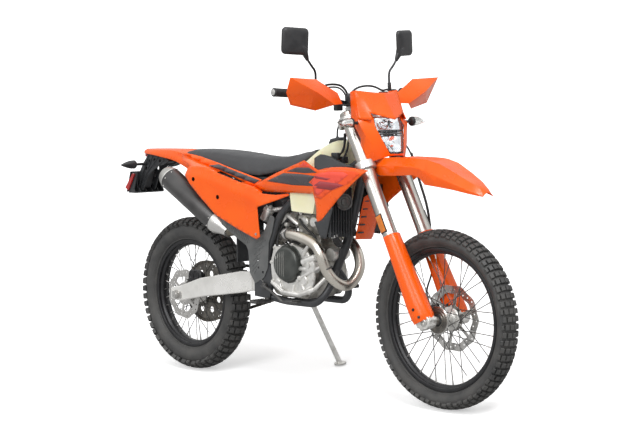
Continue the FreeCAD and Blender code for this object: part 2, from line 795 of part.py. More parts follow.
# Cooling
def make_radiators():
    """One upright core on each side, leaning back with the down tube."""
    cores = []
    for name, side in SIDES:
        core = doc.addObject("Part::Box", "radiator_" + name)
        near = "sizes.radiator_inside" if side > 0 else "-sizes.radiator_outside"
        core.Placement = Placement(Vector(962, 0, 652), Rotation(Vector(0, 1, 0), 4.8))
        core.setExpression("Placement.Base.y", near)
        core.setExpression("Length", "sizes.radiator_depth")
        core.setExpression("Width", "sizes.radiator_outside - sizes.radiator_inside")
        core.setExpression("Height", "sizes.radiator_height")
        cores.append(core)
    keep("radiators", grouped("radiators", cores))


# Tank and seat
def make_tank():
    stations = [(706, 66, 872, 888), (800, 78, 872, 940), (890, 80, 884, 1004),
                (962, 70, 902, 1024), (1002, 52, 930, 1008)]
    sections = []
    for x, half, low, high in stations:
        chamfer = min(26, 0.6 * (high - low))
        sections.append([Vector(x, -half, low), Vector(x, half, low), Vector(x, half, high - chamfer),
                         Vector(x, half - chamfer, high), Vector(x, -half + chamfer, high),
                         Vector(x, -half, high - chamfer)])
    solids = [loft(sections)]
    lobe = [(752, 806), (762, 728), (902, 720), (920, 800), (920, 900), (800, 900)]
    for _, side in SIDES:
        solids.append(plate(lobe, side * 88, side * 124))
        solids.append(on_side(side, 790, 920, 70, 90, 874, 899))
    cap = Part.makeCylinder(34, 16, Vector(918, 0, 1006), Vector(-0.18, 0, 1))
    body = fuse(solids + [cap])
    for _, side in SIDES:
        body = body.cut(tube(spar_points(side), size("spar_radius") + GAP))
    shaped("fuel_tank", body)


def seat_low(x):
    """Underside of the seat at station x."""
    stations = seat_stations()
    for (x0, _, _, low0, _), (x1, _, _, low1, _) in zip(stations, stations[1:]):
        if x0 <= x <= x1:
            return low0 + (low1 - low0) * (x - x0) / (x1 - x0)
    return stations[-1][3]


def seat_stations():
    """x, half width at the bottom, half width at the top, lowest z, highest z."""
    rear = size("seat_rear_x")
    front = size("seat_front_x")
    return [(rear, 52, 40, 950, 967), (rear + 110, 84, 66, 926, 973), (rear + 230, 100, 78, 906, 970),
            (rear + 400, 104, 76, 872, 957), (rear + 540, 92, 60, 866, 947), (rear + 640, 84, 52, 884, 948),
            (front - 110, 78, 46, 896, 960), (front, 54, 34, 962, 992)]


def make_seat():
    sections = []
    for x, foot, crown, low, high in seat_stations():
        middle = (low + high) / 2
        sections.append([Vector(x, -foot, low), Vector(x, foot, low), Vector(x, foot - 4, middle),
                         Vector(x, crown, high), Vector(x, -crown, high), Vector(x, 4 - foot, middle)])
    body = loft(sections)
    shaped("seat", body.cut(grown_tank()))


def grown_tank():
    """Room for the tank below the nose of the seat."""
    stations = [(696, 90, 860, 889), (800, 90, 860, 942), (890, 90, 870, 1006)]
    sections = [[Vector(x, -half, low), Vector(x, half, low), Vector(x, half, high), Vector(x, -half, high)]
                for x, half, low, high in stations]
    return loft(sections)


# Bodywork
SHROUD_YAW = 4.1
SHROUD_FOOT = 82.0
PANEL_YAW = -3.5
PANEL_FOOT = 186.0


def panel_face_y(x):
    """Inner face of a side panel at station x."""
    return PANEL_FOOT + math.tan(math.radians(PANEL_YAW)) * x


def leaf(name, outline, side, foot, yaw, wall):
    """A flat leaf of bodywork, turned about Z, with its inner face at the given y at X = 0."""
    body = doc.addObject("PartDesign::Body", name)
    spread = [(repr(x / math.cos(math.radians(yaw))), repr(float(z))) for x, z in outline]
    if side > 0:
        padded(body, name + "_leaf", spread, "0", wall)
    else:
        padded(body, name + "_leaf", spread, "-(%s)" % wall, "0")
    body.Placement = Placement(Vector(0, side * foot, 0), Rotation(Vector(0, 0, 1), side * yaw))
    return body


def make_shrouds():
    """A leaf on each side of the tank with the foot that carries it on the radiator."""
    outline = [(554, 833), (833, 937), (945, 898), (1094, 918), (1236, 908), (1120, 825), (1030, 722),
               (1000, 636), (966, 640), (931, 814), (775, 811), (606, 808)]
    for name, side in SIDES:
        body = leaf("shroud_skin_" + name, outline, side, SHROUD_FOOT, SHROUD_YAW, "sizes.shell_wall + 1")
        near = "sizes.radiator_outside + sizes.fit_gap"
        reach = repr(SHROUD_FOOT + math.tan(math.radians(SHROUD_YAW)) * 980 + 1)
        y = (near, reach) if side > 0 else ("-" + reach, "-(%s)" % near)
        foot = slab("shroud_foot_" + name, ("980", "1000"), y, ("760", "800"))
        keep("shroud_" + name, joined("shroud_" + name, [body, foot]))


def make_side_panels():
    outline = [(170, 907), (156, 867), (345, 704), (587, 614), (590, 745), (765, 800), (612, 800),
               (548, 826), (404, 866)]
    for name, side in SIDES:
        keep("side_panel_" + name, leaf("side_panel_" + name, outline, side, PANEL_FOOT, PANEL_YAW,
                                        "sizes.shell_wall"))


def gutter(x, half, low, high, wall):
    """The section of an upside-down trough at station x."""
    return [Vector(x, -half, low), Vector(x, -half, high), Vector(x, half, high), Vector(x, half, low),
            Vector(x, half - wall, low), Vector(x, half - wall, high - wall),
            Vector(x, -half + wall, high - wall), Vector(x, -half + wall, low)]


def make_rear_fender():
    wall = size("shell_wall")
    stations = [(-300, 44, 952, 966), (-200, 64, 944, 972), (-60, 82, 928, 972), (-6, 88, 918, 969)]
    sections = [gutter(x, half, low, high, wall) for x, half, low, high in stations]
    tail = loft(sections)
    tray = [gutter(x, half, low, high, wall) for x, half, low, high in
            [(-6, 88, 918, 946), (60, 96, 896, 936), (150, 108, 860, 914)]]
    shaped("rear_fender", fuse([tail, loft(tray)]))


def make_front_fender():
    wall = size("shell_wall")
    stations = [(1214, 64, 876, 952), (1300, 72, 892, 958), (1440, 78, 874, 957), (1520, 74, 858, 940),
                (1600, 62, 840, 903), (1706, 28, 818, 834)]
    body = loft([gutter(x, half, low, high, wall) for x, half, low, high in stations])
    under_clamp = size("lower_clamp_height") - size("clamp_thickness") / 2 - GAP
    tongue = steered(block(-20, 86, -62.5, 62.5, under_clamp - 10, under_clamp))
    shaped("front_fender", fuse([body, tongue]))


def mask_half_width(z):
    return 105 + 38 * math.exp(-((z - 1110) / 45.0) ** 2)


def make_mask():
    """Headlight mask: horizontal sections of a shell open to the rear."""
    wall = size("shell_wall")
    front_edge = [(964, 1230), (1000, 1234), (1100, 1206), (1214, 1140)]
    sections = []
    inner = []
    for z, front in front_edge:
        half = mask_half_width(z)
        nose = half * 0.5
        back = min(fork_line_x(z) + size("fork_tube_radius") / math.cos(rake) + 4, front - 24)
        sections.append([Vector(back, -half, z), Vector(front, -nose, z), Vector(front, nose, z),
                         Vector(back, half, z)])
        inner.append([Vector(back - 1, -half + wall, z), Vector(front - wall, -nose + 1, z),
                      Vector(front - wall, nose - 1, z), Vector(back - 1, half - wall, z)])
    solid = loft(sections)
    shell = solid.cut(loft(inner))
    level = 1050
    tube_front = fork_line_x(level) + size("fork_tube_radius") / math.cos(rake)
    near = size("fork_spacing") / 2 - 4
    far = mask_half_width(level) - 4
    ears = [on_side(side, tube_front - 10, tube_front + 24, near, far, level - 14, level + 14)
            for _, side in SIDES]
    body = fuse([shell] + ears)
    for _, side in SIDES:
        room = Part.makeCylinder(size("fork_tube_radius") + GAP, 1200,
                                 Vector(size("clamp_offset"), side * size("fork_spacing") / 2, 0))
        body = body.cut(steered(room))
    shaped("headlight_mask", body)
    return solid


def make_fork_legs():
    """Each leg: outer tube, slider and the lug that holds the axle, square to the steering axis."""
    legs = []
    forward = "sizes.clamp_offset"
    axle = "(sizes.clamp_offset + sizes.lug_offset)"
    for name, side in SIDES:
        y = "%d * sizes.fork_spacing / 2" % side
        outer = upright("fork_outer_" + name, forward, y, ("sizes.fork_tube_low", "sizes.fork_tube_high"),
                        "sizes.fork_tube_radius")
        slider = upright("fork_slider_" + name, forward, y, ("-6", "sizes.fork_tube_low + 10"),
                         "sizes.fork_slider_radius")
        lug = slab("fork_lug_" + name, ("-8", axle + " + 24"),
                   (y + " - sizes.lug_half", y + " + sizes.lug_half"), ("-26", "26"))
        boss = slab("guard_boss_" + name, ("40", "66"), (y + " - 6", y + " + 6"), ("20", "50"))
        bore = rod("fork_bore_" + name, axle, "0", "-300", "600", "sizes.axle_radius + sizes.fit_gap")
        legs.append(cut("fork_leg_" + name, joined("fork_solid_" + name, [outer, slider, lug, boss]), bore))
    item = grouped("fork_legs", legs)
    item.Placement = STEER
    keep("fork_legs", item)


def make_front_axle():
    axle = "sizes.clamp_offset + sizes.lug_offset"
    inside = "(sizes.fork_spacing / 2 - sizes.lug_half - sizes.fit_gap)"
    left = "(sizes.front_disc_y + sizes.disc_thickness / 2 + sizes.spacer_gap)"
    right = "(sizes.front_hub_width / 2 + sizes.spacer_gap)"
    end = "(sizes.fork_spacing / 2 + sizes.lug_half + 6)"
    item = joined("front_axle", [
        rod("front_axle_rod", axle, "0", "-" + end, "2 * " + end, "sizes.axle_radius"),
        rod("front_spacer_left", axle, "0", left, "%s - %s" % (inside, left), "17"),
        rod("front_spacer_right", axle, "0", "-" + inside, "%s - %s" % (inside, right), "17")])
    item.Placement = STEER
    keep("front_axle", item)


def make_front_caliper():
    axle = "sizes.clamp_offset + sizes.lug_offset"
    lug = "sizes.fork_spacing / 2 - sizes.lug_half - sizes.fit_gap"
    block_item = slab("front_caliper_block", (axle + " - 128", axle + " - 62"), ("34", lug), ("6", "94"))
    body = slotted("front_caliper_body", block_item, axle, "0", 1, "front")
    arm = slab("front_caliper_arm", ("-62", "4"), ("52", lug), ("8", "24"))
    item = joined("front_caliper", [body, arm])
    item.Placement = STEER
    keep("front_caliper", item)


def make_fork_clamps():
    """Lower and upper clamp, the stem between them and the block that carries the bar."""
    spacing = size("fork_spacing") / 2
    offset = size("clamp_offset")
    tube_radius = size("fork_tube_radius")
    thickness = size("clamp_thickness")
    solids = []
    for level in ("lower_clamp_height", "upper_clamp_height"):
        start = size(level) - thickness / 2
        solids.append(block(-24, offset + 22, -spacing, spacing, start, start + thickness))
        for _, side in SIDES:
            middle = Vector(offset, side * spacing, start)
            solids.append(Part.makeCylinder(tube_radius + 12, thickness, middle))
    stem_from = size("lower_clamp_height")
    stem_to = size("upper_clamp_height") + 10
    solids.append(Part.makeCylinder(size("stem_radius"), stem_to - stem_from, Vector(0, 0, stem_from)))
    clamps = fuse(solids)
    for _, side in SIDES:
        room = Part.makeCylinder(tube_radius + GAP, 1200, Vector(offset, side * spacing, 0))
        clamps = clamps.cut(room)
    mount_top = size("upper_clamp_height") + thickness / 2
    bar_block = block(-8, 36, -62, 62, mount_top - 1, 930)
    shaped("fork_clamps", fuse([steered(clamps), steered(bar_block)]).cut(bar_room()))


def make_fork_guards():
    """Half cones in front of the sliders, on a boss at each foot."""
    wall = size("shell_wall")
    guards = []
    for _, side in SIDES:
        y = side * size("fork_spacing") / 2
        foot = Vector(26, y, 34)
        outer = Part.makeCone(44, 35, 330, foot)
        inner = Part.makeCone(44 - wall, 35 - wall, 330, foot)
        back = block(-60, 8, y - 60, y + 60, 0, 500)
        guards.append(steered(outer.cut(inner).cut(back)))
    shaped("fork_guards", Part.makeCompound(guards))


def bar_points():
    half = size("bar_half_width")
    return [(985, -half, 1213), (1012, -190, 1200), (1040, -70, 1160), (1040, 70, 1160),
            (1012, 190, 1200), (985, half, 1213)]


def bar_room():
    return tube(bar_points(), size("bar_radius") + GAP)


def make_handlebar():
    keep("handlebar", pipe("handlebar", bar_points(), "sizes.bar_radius"))


def along_bar(side, start, stop, radius):
    """A sleeve on the straight outer run of the bar, between two distances from its end."""
    end = Vector(*bar_points()[-1])
    inner = Vector(*bar_points()[-2])
    run = (inner - end).normalize()
    body = Part.makeCylinder(radius, stop - start, end + run * start, run)
    return body if side > 0 else mirrored(body)


def make_grips():
    grips = []
    for name, side in SIDES:
        end, inner = Vector(*bar_points()[-1]), Vector(*bar_points()[-2])
        run = (inner - end).normalize()
        run.y, end.y = run.y * side, end.y * side
        sleeve = post("grip_sleeve_" + name, "Cylinder", end, run, Radius="sizes.grip_radius",
                      Height="sizes.grip_length")
        room = post("grip_room_" + name, "Cylinder", end, run, Radius="sizes.bar_radius + sizes.fit_gap",
                    Height="sizes.grip_length")
        grips.append(cut("grip_" + name, sleeve, room))
    keep("grips", grouped("grips", grips))


def make_controls():
    """Perch, reservoir and lever on each side of the bar."""
    shapes = []
    for _, side in SIDES:
        perch = along_bar(1, 165, 205, 18)
        reservoir = block(1014, 1050, 210, 262, 1186, 1222)
        lever = tube([(1040, 240, 1200), (1062, 262, 1200), (1056, 390, 1204)], 6, 30)
        body = fuse([perch, reservoir, lever]).cut(bar_room())
        shapes.append(body if side > 0 else mirrored(body))
    shaped("bar_controls", Part.makeCompound(shapes))


def make_hand_guards():
    outline = [(414, 1262), (265, 1255), (190, 1210), (158, 1176), (221, 1160), (275, 1139), (388, 1165)]
    shapes = []
    for _, side in SIDES:
        face = face_of([Vector(1092, y, z) for y, z in outline])
        shield = face.extrude(Vector(size("shell_wall") + 1, 0, 0))
        arm = tube([(1094, 182, 1190), (1060, 170, 1192), (1016, 150, 1186)], 7, 30)
        body = fuse([shield, arm]).cut(bar_room())
        shapes.append(body if side > 0 else mirrored(body))
    shaped("hand_guards", Part.makeCompound(shapes))


def make_mirrors():
    width = size("mirror_width")
    height = size("mirror_height")
    depth = size("mirror_depth")
    shapes = []
    for _, side in SIDES:
        stem = tube([(1008, 212, 1220), (1008, 205, 1282), (1010, 257, 1335), (1006, 280, 1375)], 5, 30)
        head = block(-depth / 2, depth / 2, -width / 2, width / 2, -height / 2, height / 2)
        upright = [edge for edge in head.Edges if abs(edge.tangentAt(edge.FirstParameter).x) > 0.9]
        head = head.makeFillet(18, upright)
        head.rotate(Vector(0, 0, 0), Vector(0, 0, 1), 14)
        head.translate(Vector(1004, 305, 1403))
        body = fuse([stem, head]).cut(bar_room())
        shapes.append(body if side > 0 else mirrored(body))
    shaped("mirrors", Part.makeCompound(shapes))


def make_brake_hose():
    """From the right reservoir behind the mask, round the left leg and down to the caliper."""
    route = [(1050 + GAP, -236, 1200), (1064, -236, 1200), (1074, -216, 1180), (1074, -140, 1162),
             (1078, -104, 1160), (1094, -50, 1156), (1096, 40, 1160), (1080, 96, 1166), (1076, 138, 1148),
             (1090, 154, 1108), (1112, 148, 1050), (1152, 138, 1008), (1200, 128, 968), (1240, 126, 868),
             (1284, 127, 765)]
    route += [steering_point(20, 139, 385), steering_point(-6, 134, 300), steering_point(-26, 112, 215),
              steering_point(-52, 74, 160), steering_point(-52, 62, 122), steering_point(-52, 62, 94 + GAP)]
    shaped("front_brake_hose", tube(route, size("hose_radius")))


def make_headlight_lens():
    outline = [(64, 1100), (78, 1072), (36, 968), (-36, 968), (-78, 1072), (-64, 1100)]
    face = face_of([Vector(1150, y, z) for y, z in outline])
    column = face.extrude(Vector(120, 0, 0))
    z_low, z_high = 940, 1130
    skin = loft([[Vector(1226, -200, z_low), Vector(1231, -200, z_low), Vector(1231, 200, z_low),
                  Vector(1226, 200, z_low)],
                 [Vector(1193, -200, z_high), Vector(1198, -200, z_high), Vector(1198, 200, z_high),
                  Vector(1193, 200, z_high)]])
    lens = column.common(skin)
    half_window = [(64.3, 1100.4), (78.5, 1072), (36.3, 967.6)]
    far_window = [(-y, z) for y, z in reversed(half_window)]
    window = face_of([Vector(1150, y, z) for y, z in half_window + far_window])
    mask = pieces["headlight_mask"]
    mask.Shape = mask.Shape.cut(window.extrude(Vector(120, 0, 0)))
    shaped("headlight_lens", lens)


def make_front_indicators():
    shapes = []
    for _, side in SIDES:
        stalk = Part.makeCylinder(6, 90, Vector(1156, 80, 1089), Vector(0.1, 1, 0.03))
        lamp = Part.makeCone(19, 4, 84, Vector(1164, 166, 1092), Vector(0.1, 1, 0.03))
        body = fuse([stalk, lamp]).cut(mask_solid)
        shapes.append(body if side > 0 else mirrored(body))
    shaped("front_indicators", Part.makeCompound(shapes))


def make_tail_bracket():
    """Arm under the fender tip with the plate holder."""
    body = doc.addObject("PartDesign::Body", "tail_bracket")
    half = "sizes.tail_arm_half"
    padded(body, "tail_arm", texts([(-180, 968.4), (-286, 963.2), (-330, 905), (-402, 776), (-352, 776),
                                    (-300, 860), (-250, 912), (-180, 930)]), "-" + half, half)
    padded(body, "plate_holder", texts([(-402, 800), (-408, 772), (-300, 772), (-306, 790)]), "-88", "88")
    keep("tail_bracket", body)


def make_rear_indicators():
    shapes = []
    for name, side in SIDES:
        outward = Vector(0, side, 0)
        foot = Vector(-288, side * (size("tail_arm_half") + GAP), 902)
        stalk = post("rear_stalk_" + name, "Cylinder", foot, outward, Radius="6", Height="62")
        lamp = post("rear_lamp_" + name, "Cone", foot + outward * 60, outward, Radius1="19", Radius2="4",
                    Height="80")
        shapes.append(joined("rear_indicator_" + name, [stalk, lamp]))
    keep("rear_indicators", grouped("rear_indicators", shapes))


# Rider's feet and the stand
def make_footpegs():
    wall = "(sizes.frame_plate_inside + sizes.frame_plate_wall + sizes.fit_gap)"
    pegs = []
    for name, side in SIDES:
        reach = {"peg": wall + " + sizes.footpeg_length", "post": wall + " + 22"}
        if side > 0:
            spans = {part: (wall, far) for part, far in reach.items()}
        else:
            spans = {part: ("-(%s)" % far, "-" + wall) for part, far in reach.items()}
        peg = slab("peg_" + name, ("592", "634"), spans["peg"], ("352", "368"))
        holder = slab("peg_post_" + name, ("600", "624"), spans["post"], ("352", "392"))
        pegs.append(joined("footpeg_" + name, [peg, holder]))
    keep("footpegs", grouped("footpegs", pegs))


def make_foot_controls():
    """Brake pedal on the right, gear lever on the left."""
    wall = size("frame_plate_inside") + size("frame_plate_wall") + GAP
    pedal = tube([(600, -wall - 10, 420), (660, -wall - 22, 400), (740, -152, 366), (822, -152, 372)], 7, 60)
    boss = across(600, -wall - 16, 420, 14, 16)
    pad = block(806, 838, -166, -138, 366, 380)
    pedal_piece = fuse([pedal, boss, pad])
    lever = tube([(728, 118, 402), (768, 128, 398), (852, 132, 412)], 7, 40)
    shaft = across(728, size("engine_left") + GAP, 402, 10, 30)
    toe = across(852, 126, 412, 9, 40)
    shaped("foot_controls", Part.makeCompound([pedal_piece, fuse([lever, shaft, toe])]))


STAND_PIVOT = Vector(552, 148, 388)
STAND_FOOT = Vector(640, 268, 52)
STAND_FOLDED = Vector(-340, 22, 34)


def stand_axis():
    """The tilted pin that carries the leg from its place on the floor to beside the swingarm."""
    swing = (STAND_FOOT - STAND_PIVOT).normalize() - Vector(STAND_FOLDED).normalize()
    flat = swing.x * swing.x + swing.z * swing.z
    axis = Vector(-swing.y * swing.x / flat, 1, -swing.y * swing.z / flat)
    return axis.normalize()


def stand_pin():
    """The pin for the stand on the left frame plate."""
    axis = stand_axis()
    return Part.makeCylinder(8, 54, STAND_PIVOT - axis * 40, axis)


def make_stand():
    """Leg and foot, swung out; its fork straddles the lug on the frame plate."""
    run = STAND_FOOT - STAND_PIVOT
    run.normalize()
    leg = Part.makeCylinder(size("stand_leg_radius"), (STAND_FOOT - STAND_PIVOT).Length, STAND_PIVOT, run)
    axis = stand_axis()
    knuckle = Part.makeCylinder(17, 22, STAND_PIVOT - axis * 11, axis)
    bore = Part.makeCylinder(8 + size("running_gap"), 90, STAND_PIVOT - axis * 45, axis)
    lean = math.radians(size("lean_angle"))
    foot = Part.makeCylinder(26, 8, Vector(0, 0, 0), Vector(0, -math.sin(lean), math.cos(lean)))
    drop = floor_drop()
    floor_z = (STAND_FOOT.y * math.sin(lean) + drop) / math.cos(lean)
    foot.translate(Vector(STAND_FOOT.x, STAND_FOOT.y, floor_z))
    below = Part.makeCylinder(60, 80, Vector(STAND_FOOT.x, STAND_FOOT.y, floor_z),
                              Vector(0, math.sin(lean), -math.cos(lean)))
    shaped("side_stand", fuse([leg, knuckle, foot]).cut(below).cut(bore))


def floor_drop():
    """How far the leaned machine comes down for its rear tyre to reach the floor."""
    lean = math.radians(size("lean_angle"))
    return size("rear_crown_ring") * (1 - math.cos(lean))


def lean_placement():
    """Lean about the line under the tyres, with a trace of pitch so that both tyres touch."""
    lean = size("lean_angle")
    cos_lean = math.cos(math.radians(lean))
    front_drop = size("front_crown_ring") * (1 - cos_lean)
    rear_drop = size("rear_crown_ring") * (1 - cos_lean)
    pitch = math.degrees(math.atan2(rear_drop - front_drop, size("wheelbase")))
    tilt = Rotation(Vector(0, 1, 0), pitch).multiply(Rotation(Vector(1, 0, 0), -lean))
    return Placement(Vector(0, 0, rear_drop_shift(tilt)), tilt)


def rear_drop_shift(tilt):
    """Lift that puts the lowest point of the rear tyre's crown on the floor."""
    ring = size("rear_crown_ring")
    centre = tilt.multVec(REAR_AXLE)
    axle = tilt.multVec(Vector(0, 1, 0))
    down = Vector(0, 0, -1) - axle * (axle.dot(Vector(0, 0, -1)))
    down.normalize()
    lowest = (centre + down * ring).z - (size("rear_tyre_radius") - ring)
    return -lowest


make_wheel("front", FRONT_AXLE, 1)
make_wheel("rear", REAR_AXLE, -1)
make_rear_sprocket()
make_chain()
make_swingarm()
make_rear_axle()
make_rear_caliper()
make_engine()
make_frame()
make_subframe()
make_shock()
make_header()
make_silencer()
make_radiators()
make_tank()
make_seat()
make_shrouds()
make_side_panels()
make_rear_fender()
make_front_fender()
mask_solid = make_mask()
make_headlight_lens()
make_fork_legs()
make_fork_clamps()
make_fork_guards()
make_front_axle()
make_front_caliper()
make_handlebar()
make_grips()
make_controls()
make_hand_guards()
make_mirrors()
make_brake_hose()
make_front_indicators()
make_tail_bracket()
make_rear_indicators()
make_footpegs()
make_foot_controls()
make_stand()
doc.recompute()

# Stand the machine on its tyres and stand, over the middle of its own footprint
leaned = lean_placement()
whole = FreeCAD.BoundBox()
for item in pieces.values():
    whole.add(item.Shape.transformed(leaned.toMatrix()).optimalBoundingBox(True, False))
shift = Placement(Vector(-whole.Center.x, -whole.Center.y, 0), Rotation())
parked = shift.multiply(leaned)
expected = {}
for node, item in pieces.items():
    expected[node] = parked.multVec(item.Shape.CenterOfGravity)
    item.Placement = parked.multiply(item.Placement)
doc.recompute()
astray = [node for node, item in pieces.items()
          if (item.Shape.CenterOfGravity - expected[node]).Length > 0.01]
if astray:
    raise RuntimeError("not at its place: " + ", ".join(astray))

for item in doc.Objects:
    if "Invalid" in item.State or "Error" in item.State:
        raise RuntimeError("%s did not build: %s" % (item.Label, item.State))
faulty = [node for node, item in pieces.items()
          if item.Shape.isNull() or not item.Shape.isValid() or not item.Shape.Solids]
if faulty:
    raise RuntimeError("no valid solid: " + ", ".join(faulty))

os.makedirs("parts", exist_ok=True)
for node, item in pieces.items():
    item.Shape.exportStep("parts/%s.step" % node)
print("parts written:", len(pieces))
print("parked placement", parked.Base, parked.Rotation.Q)
print("whole", whole)
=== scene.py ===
# %% [markdown]
# # An enduro motorcycle, parked on its side stand
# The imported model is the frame: it says where each part is and how large it may be.
# This lesson puts the visible shapes and finishes on it. Blender works in metres here.
# %% Load the frame
import json
from math import acos, atan2, copysign, cos, exp, pi, radians, sin, sqrt

import bmesh
import bpy
from mathutils import Matrix, Vector


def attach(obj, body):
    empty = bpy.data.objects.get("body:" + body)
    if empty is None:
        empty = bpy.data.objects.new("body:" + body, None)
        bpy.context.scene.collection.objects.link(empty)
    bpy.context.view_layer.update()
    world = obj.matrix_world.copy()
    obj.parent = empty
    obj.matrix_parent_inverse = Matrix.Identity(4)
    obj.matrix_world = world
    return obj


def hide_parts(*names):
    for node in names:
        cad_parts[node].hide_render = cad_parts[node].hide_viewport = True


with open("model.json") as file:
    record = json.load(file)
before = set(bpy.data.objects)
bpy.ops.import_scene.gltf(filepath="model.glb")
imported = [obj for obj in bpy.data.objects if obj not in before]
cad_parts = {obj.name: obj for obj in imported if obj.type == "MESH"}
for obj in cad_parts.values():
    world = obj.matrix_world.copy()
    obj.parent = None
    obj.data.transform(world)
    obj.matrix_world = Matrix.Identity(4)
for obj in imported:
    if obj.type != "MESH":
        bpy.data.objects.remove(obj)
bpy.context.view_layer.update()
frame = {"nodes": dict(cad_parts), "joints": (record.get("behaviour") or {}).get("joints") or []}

# %% [markdown]
# ## The parked machine
# A motorcycle is easiest to draw standing upright, in millimetres: X forward, Y to the
# rider's left, Z up, with the origin on the ground below the rear axle. The real one leans
# on its stand. Both axles are joints of the frame, so they give one matrix that carries
# every drawn shape from the upright machine to the parked one.
# %% From the upright machine to the parked one
REAR_AXLE = Vector((0, 0, 336))
FRONT_AXLE = Vector((1487, 0, 344))
joints = {joint["name"]: joint for joint in frame["joints"]}


def axes_of(along, across):
    along = along.normalized()
    across = across.normalized()
    return Matrix((along, across, along.cross(across).normalized())).transposed()


rear_place = Vector(joints["rear_wheel_spin"]["pos_m"])
front_place = Vector(joints["front_wheel_spin"]["pos_m"])
parked_axes = axes_of(front_place - rear_place, Vector(joints["rear_wheel_spin"]["axis"]))
LEAN = parked_axes @ axes_of(FRONT_AXLE - REAR_AXLE, Vector((0, 1, 0))).transposed()
TO_METRES = Matrix.Scale(0.001, 4)
PARKED = Matrix.Translation(rear_place) @ LEAN.to_4x4() @ TO_METRES @ Matrix.Translation(-REAR_AXLE)
print("front axle lands", (PARKED @ FRONT_AXLE - front_place).length * 1000, "mm away")

# %% [markdown]
# ## The steering frame
# Fork, axle lugs and clamps are square to the steering axis, which rakes back. A point
# beside it is easier to give as forward, across and up along that axis.
# %% Points beside the steering axis
RAKE = radians(26.5)
FORWARD = Vector((cos(RAKE), 0, sin(RAKE)))
UPWARD = Vector((-sin(RAKE), 0, cos(RAKE)))
AXLE_AHEAD = 50
STEER_FOOT = FRONT_AXLE - FORWARD * AXLE_AHEAD
STEERED = Matrix.Translation(STEER_FOOT) @ Matrix.Rotation(-RAKE, 4, "Y")
LEFT, RIGHT, UP = (0, 1, 0), (0, -1, 0), (0, 0, 1)
SIDES = (1, -1)
SIDE_NAMES = ((1, "left"), (-1, "right"))


def steering_point(forward, across, up):
    point = STEER_FOOT + FORWARD * forward + UPWARD * up
    return Vector((point.x, across, point.z))


print("top of the steering axis", steering_point(0, 0, 855))

# %% [markdown]
# ## Camera
# The photograph was taken from the front right, a little above the middle of the machine,
# with a long lens. The camera is placed on the upright machine and carried over with it.
# %% Camera
scene = bpy.context.scene


def new_object(name, data):
    """Put an object with the given data in the scene."""
    item = bpy.data.objects.new(name, data)
    scene.collection.objects.link(item)
    return item


AZIMUTH, ELEVATION, ROLL = radians(46.38), radians(4.15), radians(-0.77)
TARGET, DISTANCE = Vector((807, 0, 695)), 6858
back = Vector((sin(AZIMUTH) * cos(ELEVATION), -cos(AZIMUTH) * cos(ELEVATION), sin(ELEVATION)))
level = Vector(UP).cross(back).normalized()
above = back.cross(level)
right = level * cos(ROLL) + above * sin(ROLL)
top = above * cos(ROLL) - level * sin(ROLL)
camera_data = bpy.data.cameras.new("photo_camera")
camera_data.lens = 94.67
camera_data.sensor_width = 36
camera = new_object("photo_camera", camera_data)
stance = (LEAN @ Matrix((right, top, back)).transposed()).to_4x4()
camera.matrix_world = Matrix.Translation(PARKED @ (TARGET + back * DISTANCE)) @ stance
scene.camera = camera
print("camera at", tuple(round(v, 2) for v in camera.location))

# %% [markdown]
# ## Light and floor
# The photograph has a white studio: light from all round, a soft lamp from above, and a
# faint shadow under each wheel. The world is white to the camera and dimmer as a lamp, so
# that colours keep the value that they are given. Reflections see a bright ceiling and a
# greyer horizon, as in a studio with a lit ceiling, so metal and gloss keep their contrast.
# %% World
def fed(tree, node, inputs):
    """Give each named input of a node a value or another node's output."""
    for label, value in inputs.items():
        if isinstance(value, bpy.types.NodeSocket):
            tree.links.new(value, node.inputs[label])
        else:
            node.inputs[label].default_value = value
    return node


def new_node(tree, kind, inputs, **settings):
    """A shader node with its settings and its inputs."""
    node = tree.nodes.new("ShaderNode" + kind)
    for label, value in settings.items():
        setattr(node, label, value)
    return fed(tree, node, inputs)


def combined(tree, operation, first, second):
    return new_node(tree, "Math", {0: first, 1: second}, operation=operation).outputs[0]


def white_where_seen(tree):
    """A mask that is 1 for rays that look at something straight or through glass."""
    rays = new_node(tree, "LightPath", {}).outputs
    return combined(tree, "MAXIMUM", rays["Is Camera Ray"], rays["Is Transmission Ray"])


scene.view_settings.view_transform = "Standard"
scene.world = bpy.data.worlds.new("studio")
scene.world.use_nodes = True
sky = scene.world.node_tree
strength = new_node(sky, "MapRange", {"Value": white_where_seen(sky), "To Min": 0.56, "To Max": 1.0})
height_of = new_node(sky, "SeparateXYZ", {0: new_node(sky, "TexCoord", {}).outputs["Generated"]})
ceiling = new_node(
    sky, "MapRange",
    {"Value": height_of.outputs["Z"], "From Min": 0.0, "From Max": 0.65, "To Min": 0.34, "To Max": 1.25})
mirrored = combined(
    sky, "MULTIPLY", ceiling.outputs["Result"], new_node(sky, "LightPath", {}).outputs["Is Glossy Ray"])
fed(sky, sky.nodes["Background"],
    {"Color": (1, 1, 1, 1), "Strength": combined(sky, "MAXIMUM", strength.outputs["Result"], mirrored)})


# %% Lamps and floor
def add_lamp(name, height, bearing, strength_value, softness):
    """A distant lamp: its height above the horizon, its bearing and its width, in degrees."""
    lamp = bpy.data.lights.new(name, "SUN")
    lamp.energy = strength_value
    lamp.angle = radians(softness)
    new_object(name, lamp).rotation_euler = (radians(90 - height), 0, radians(bearing))


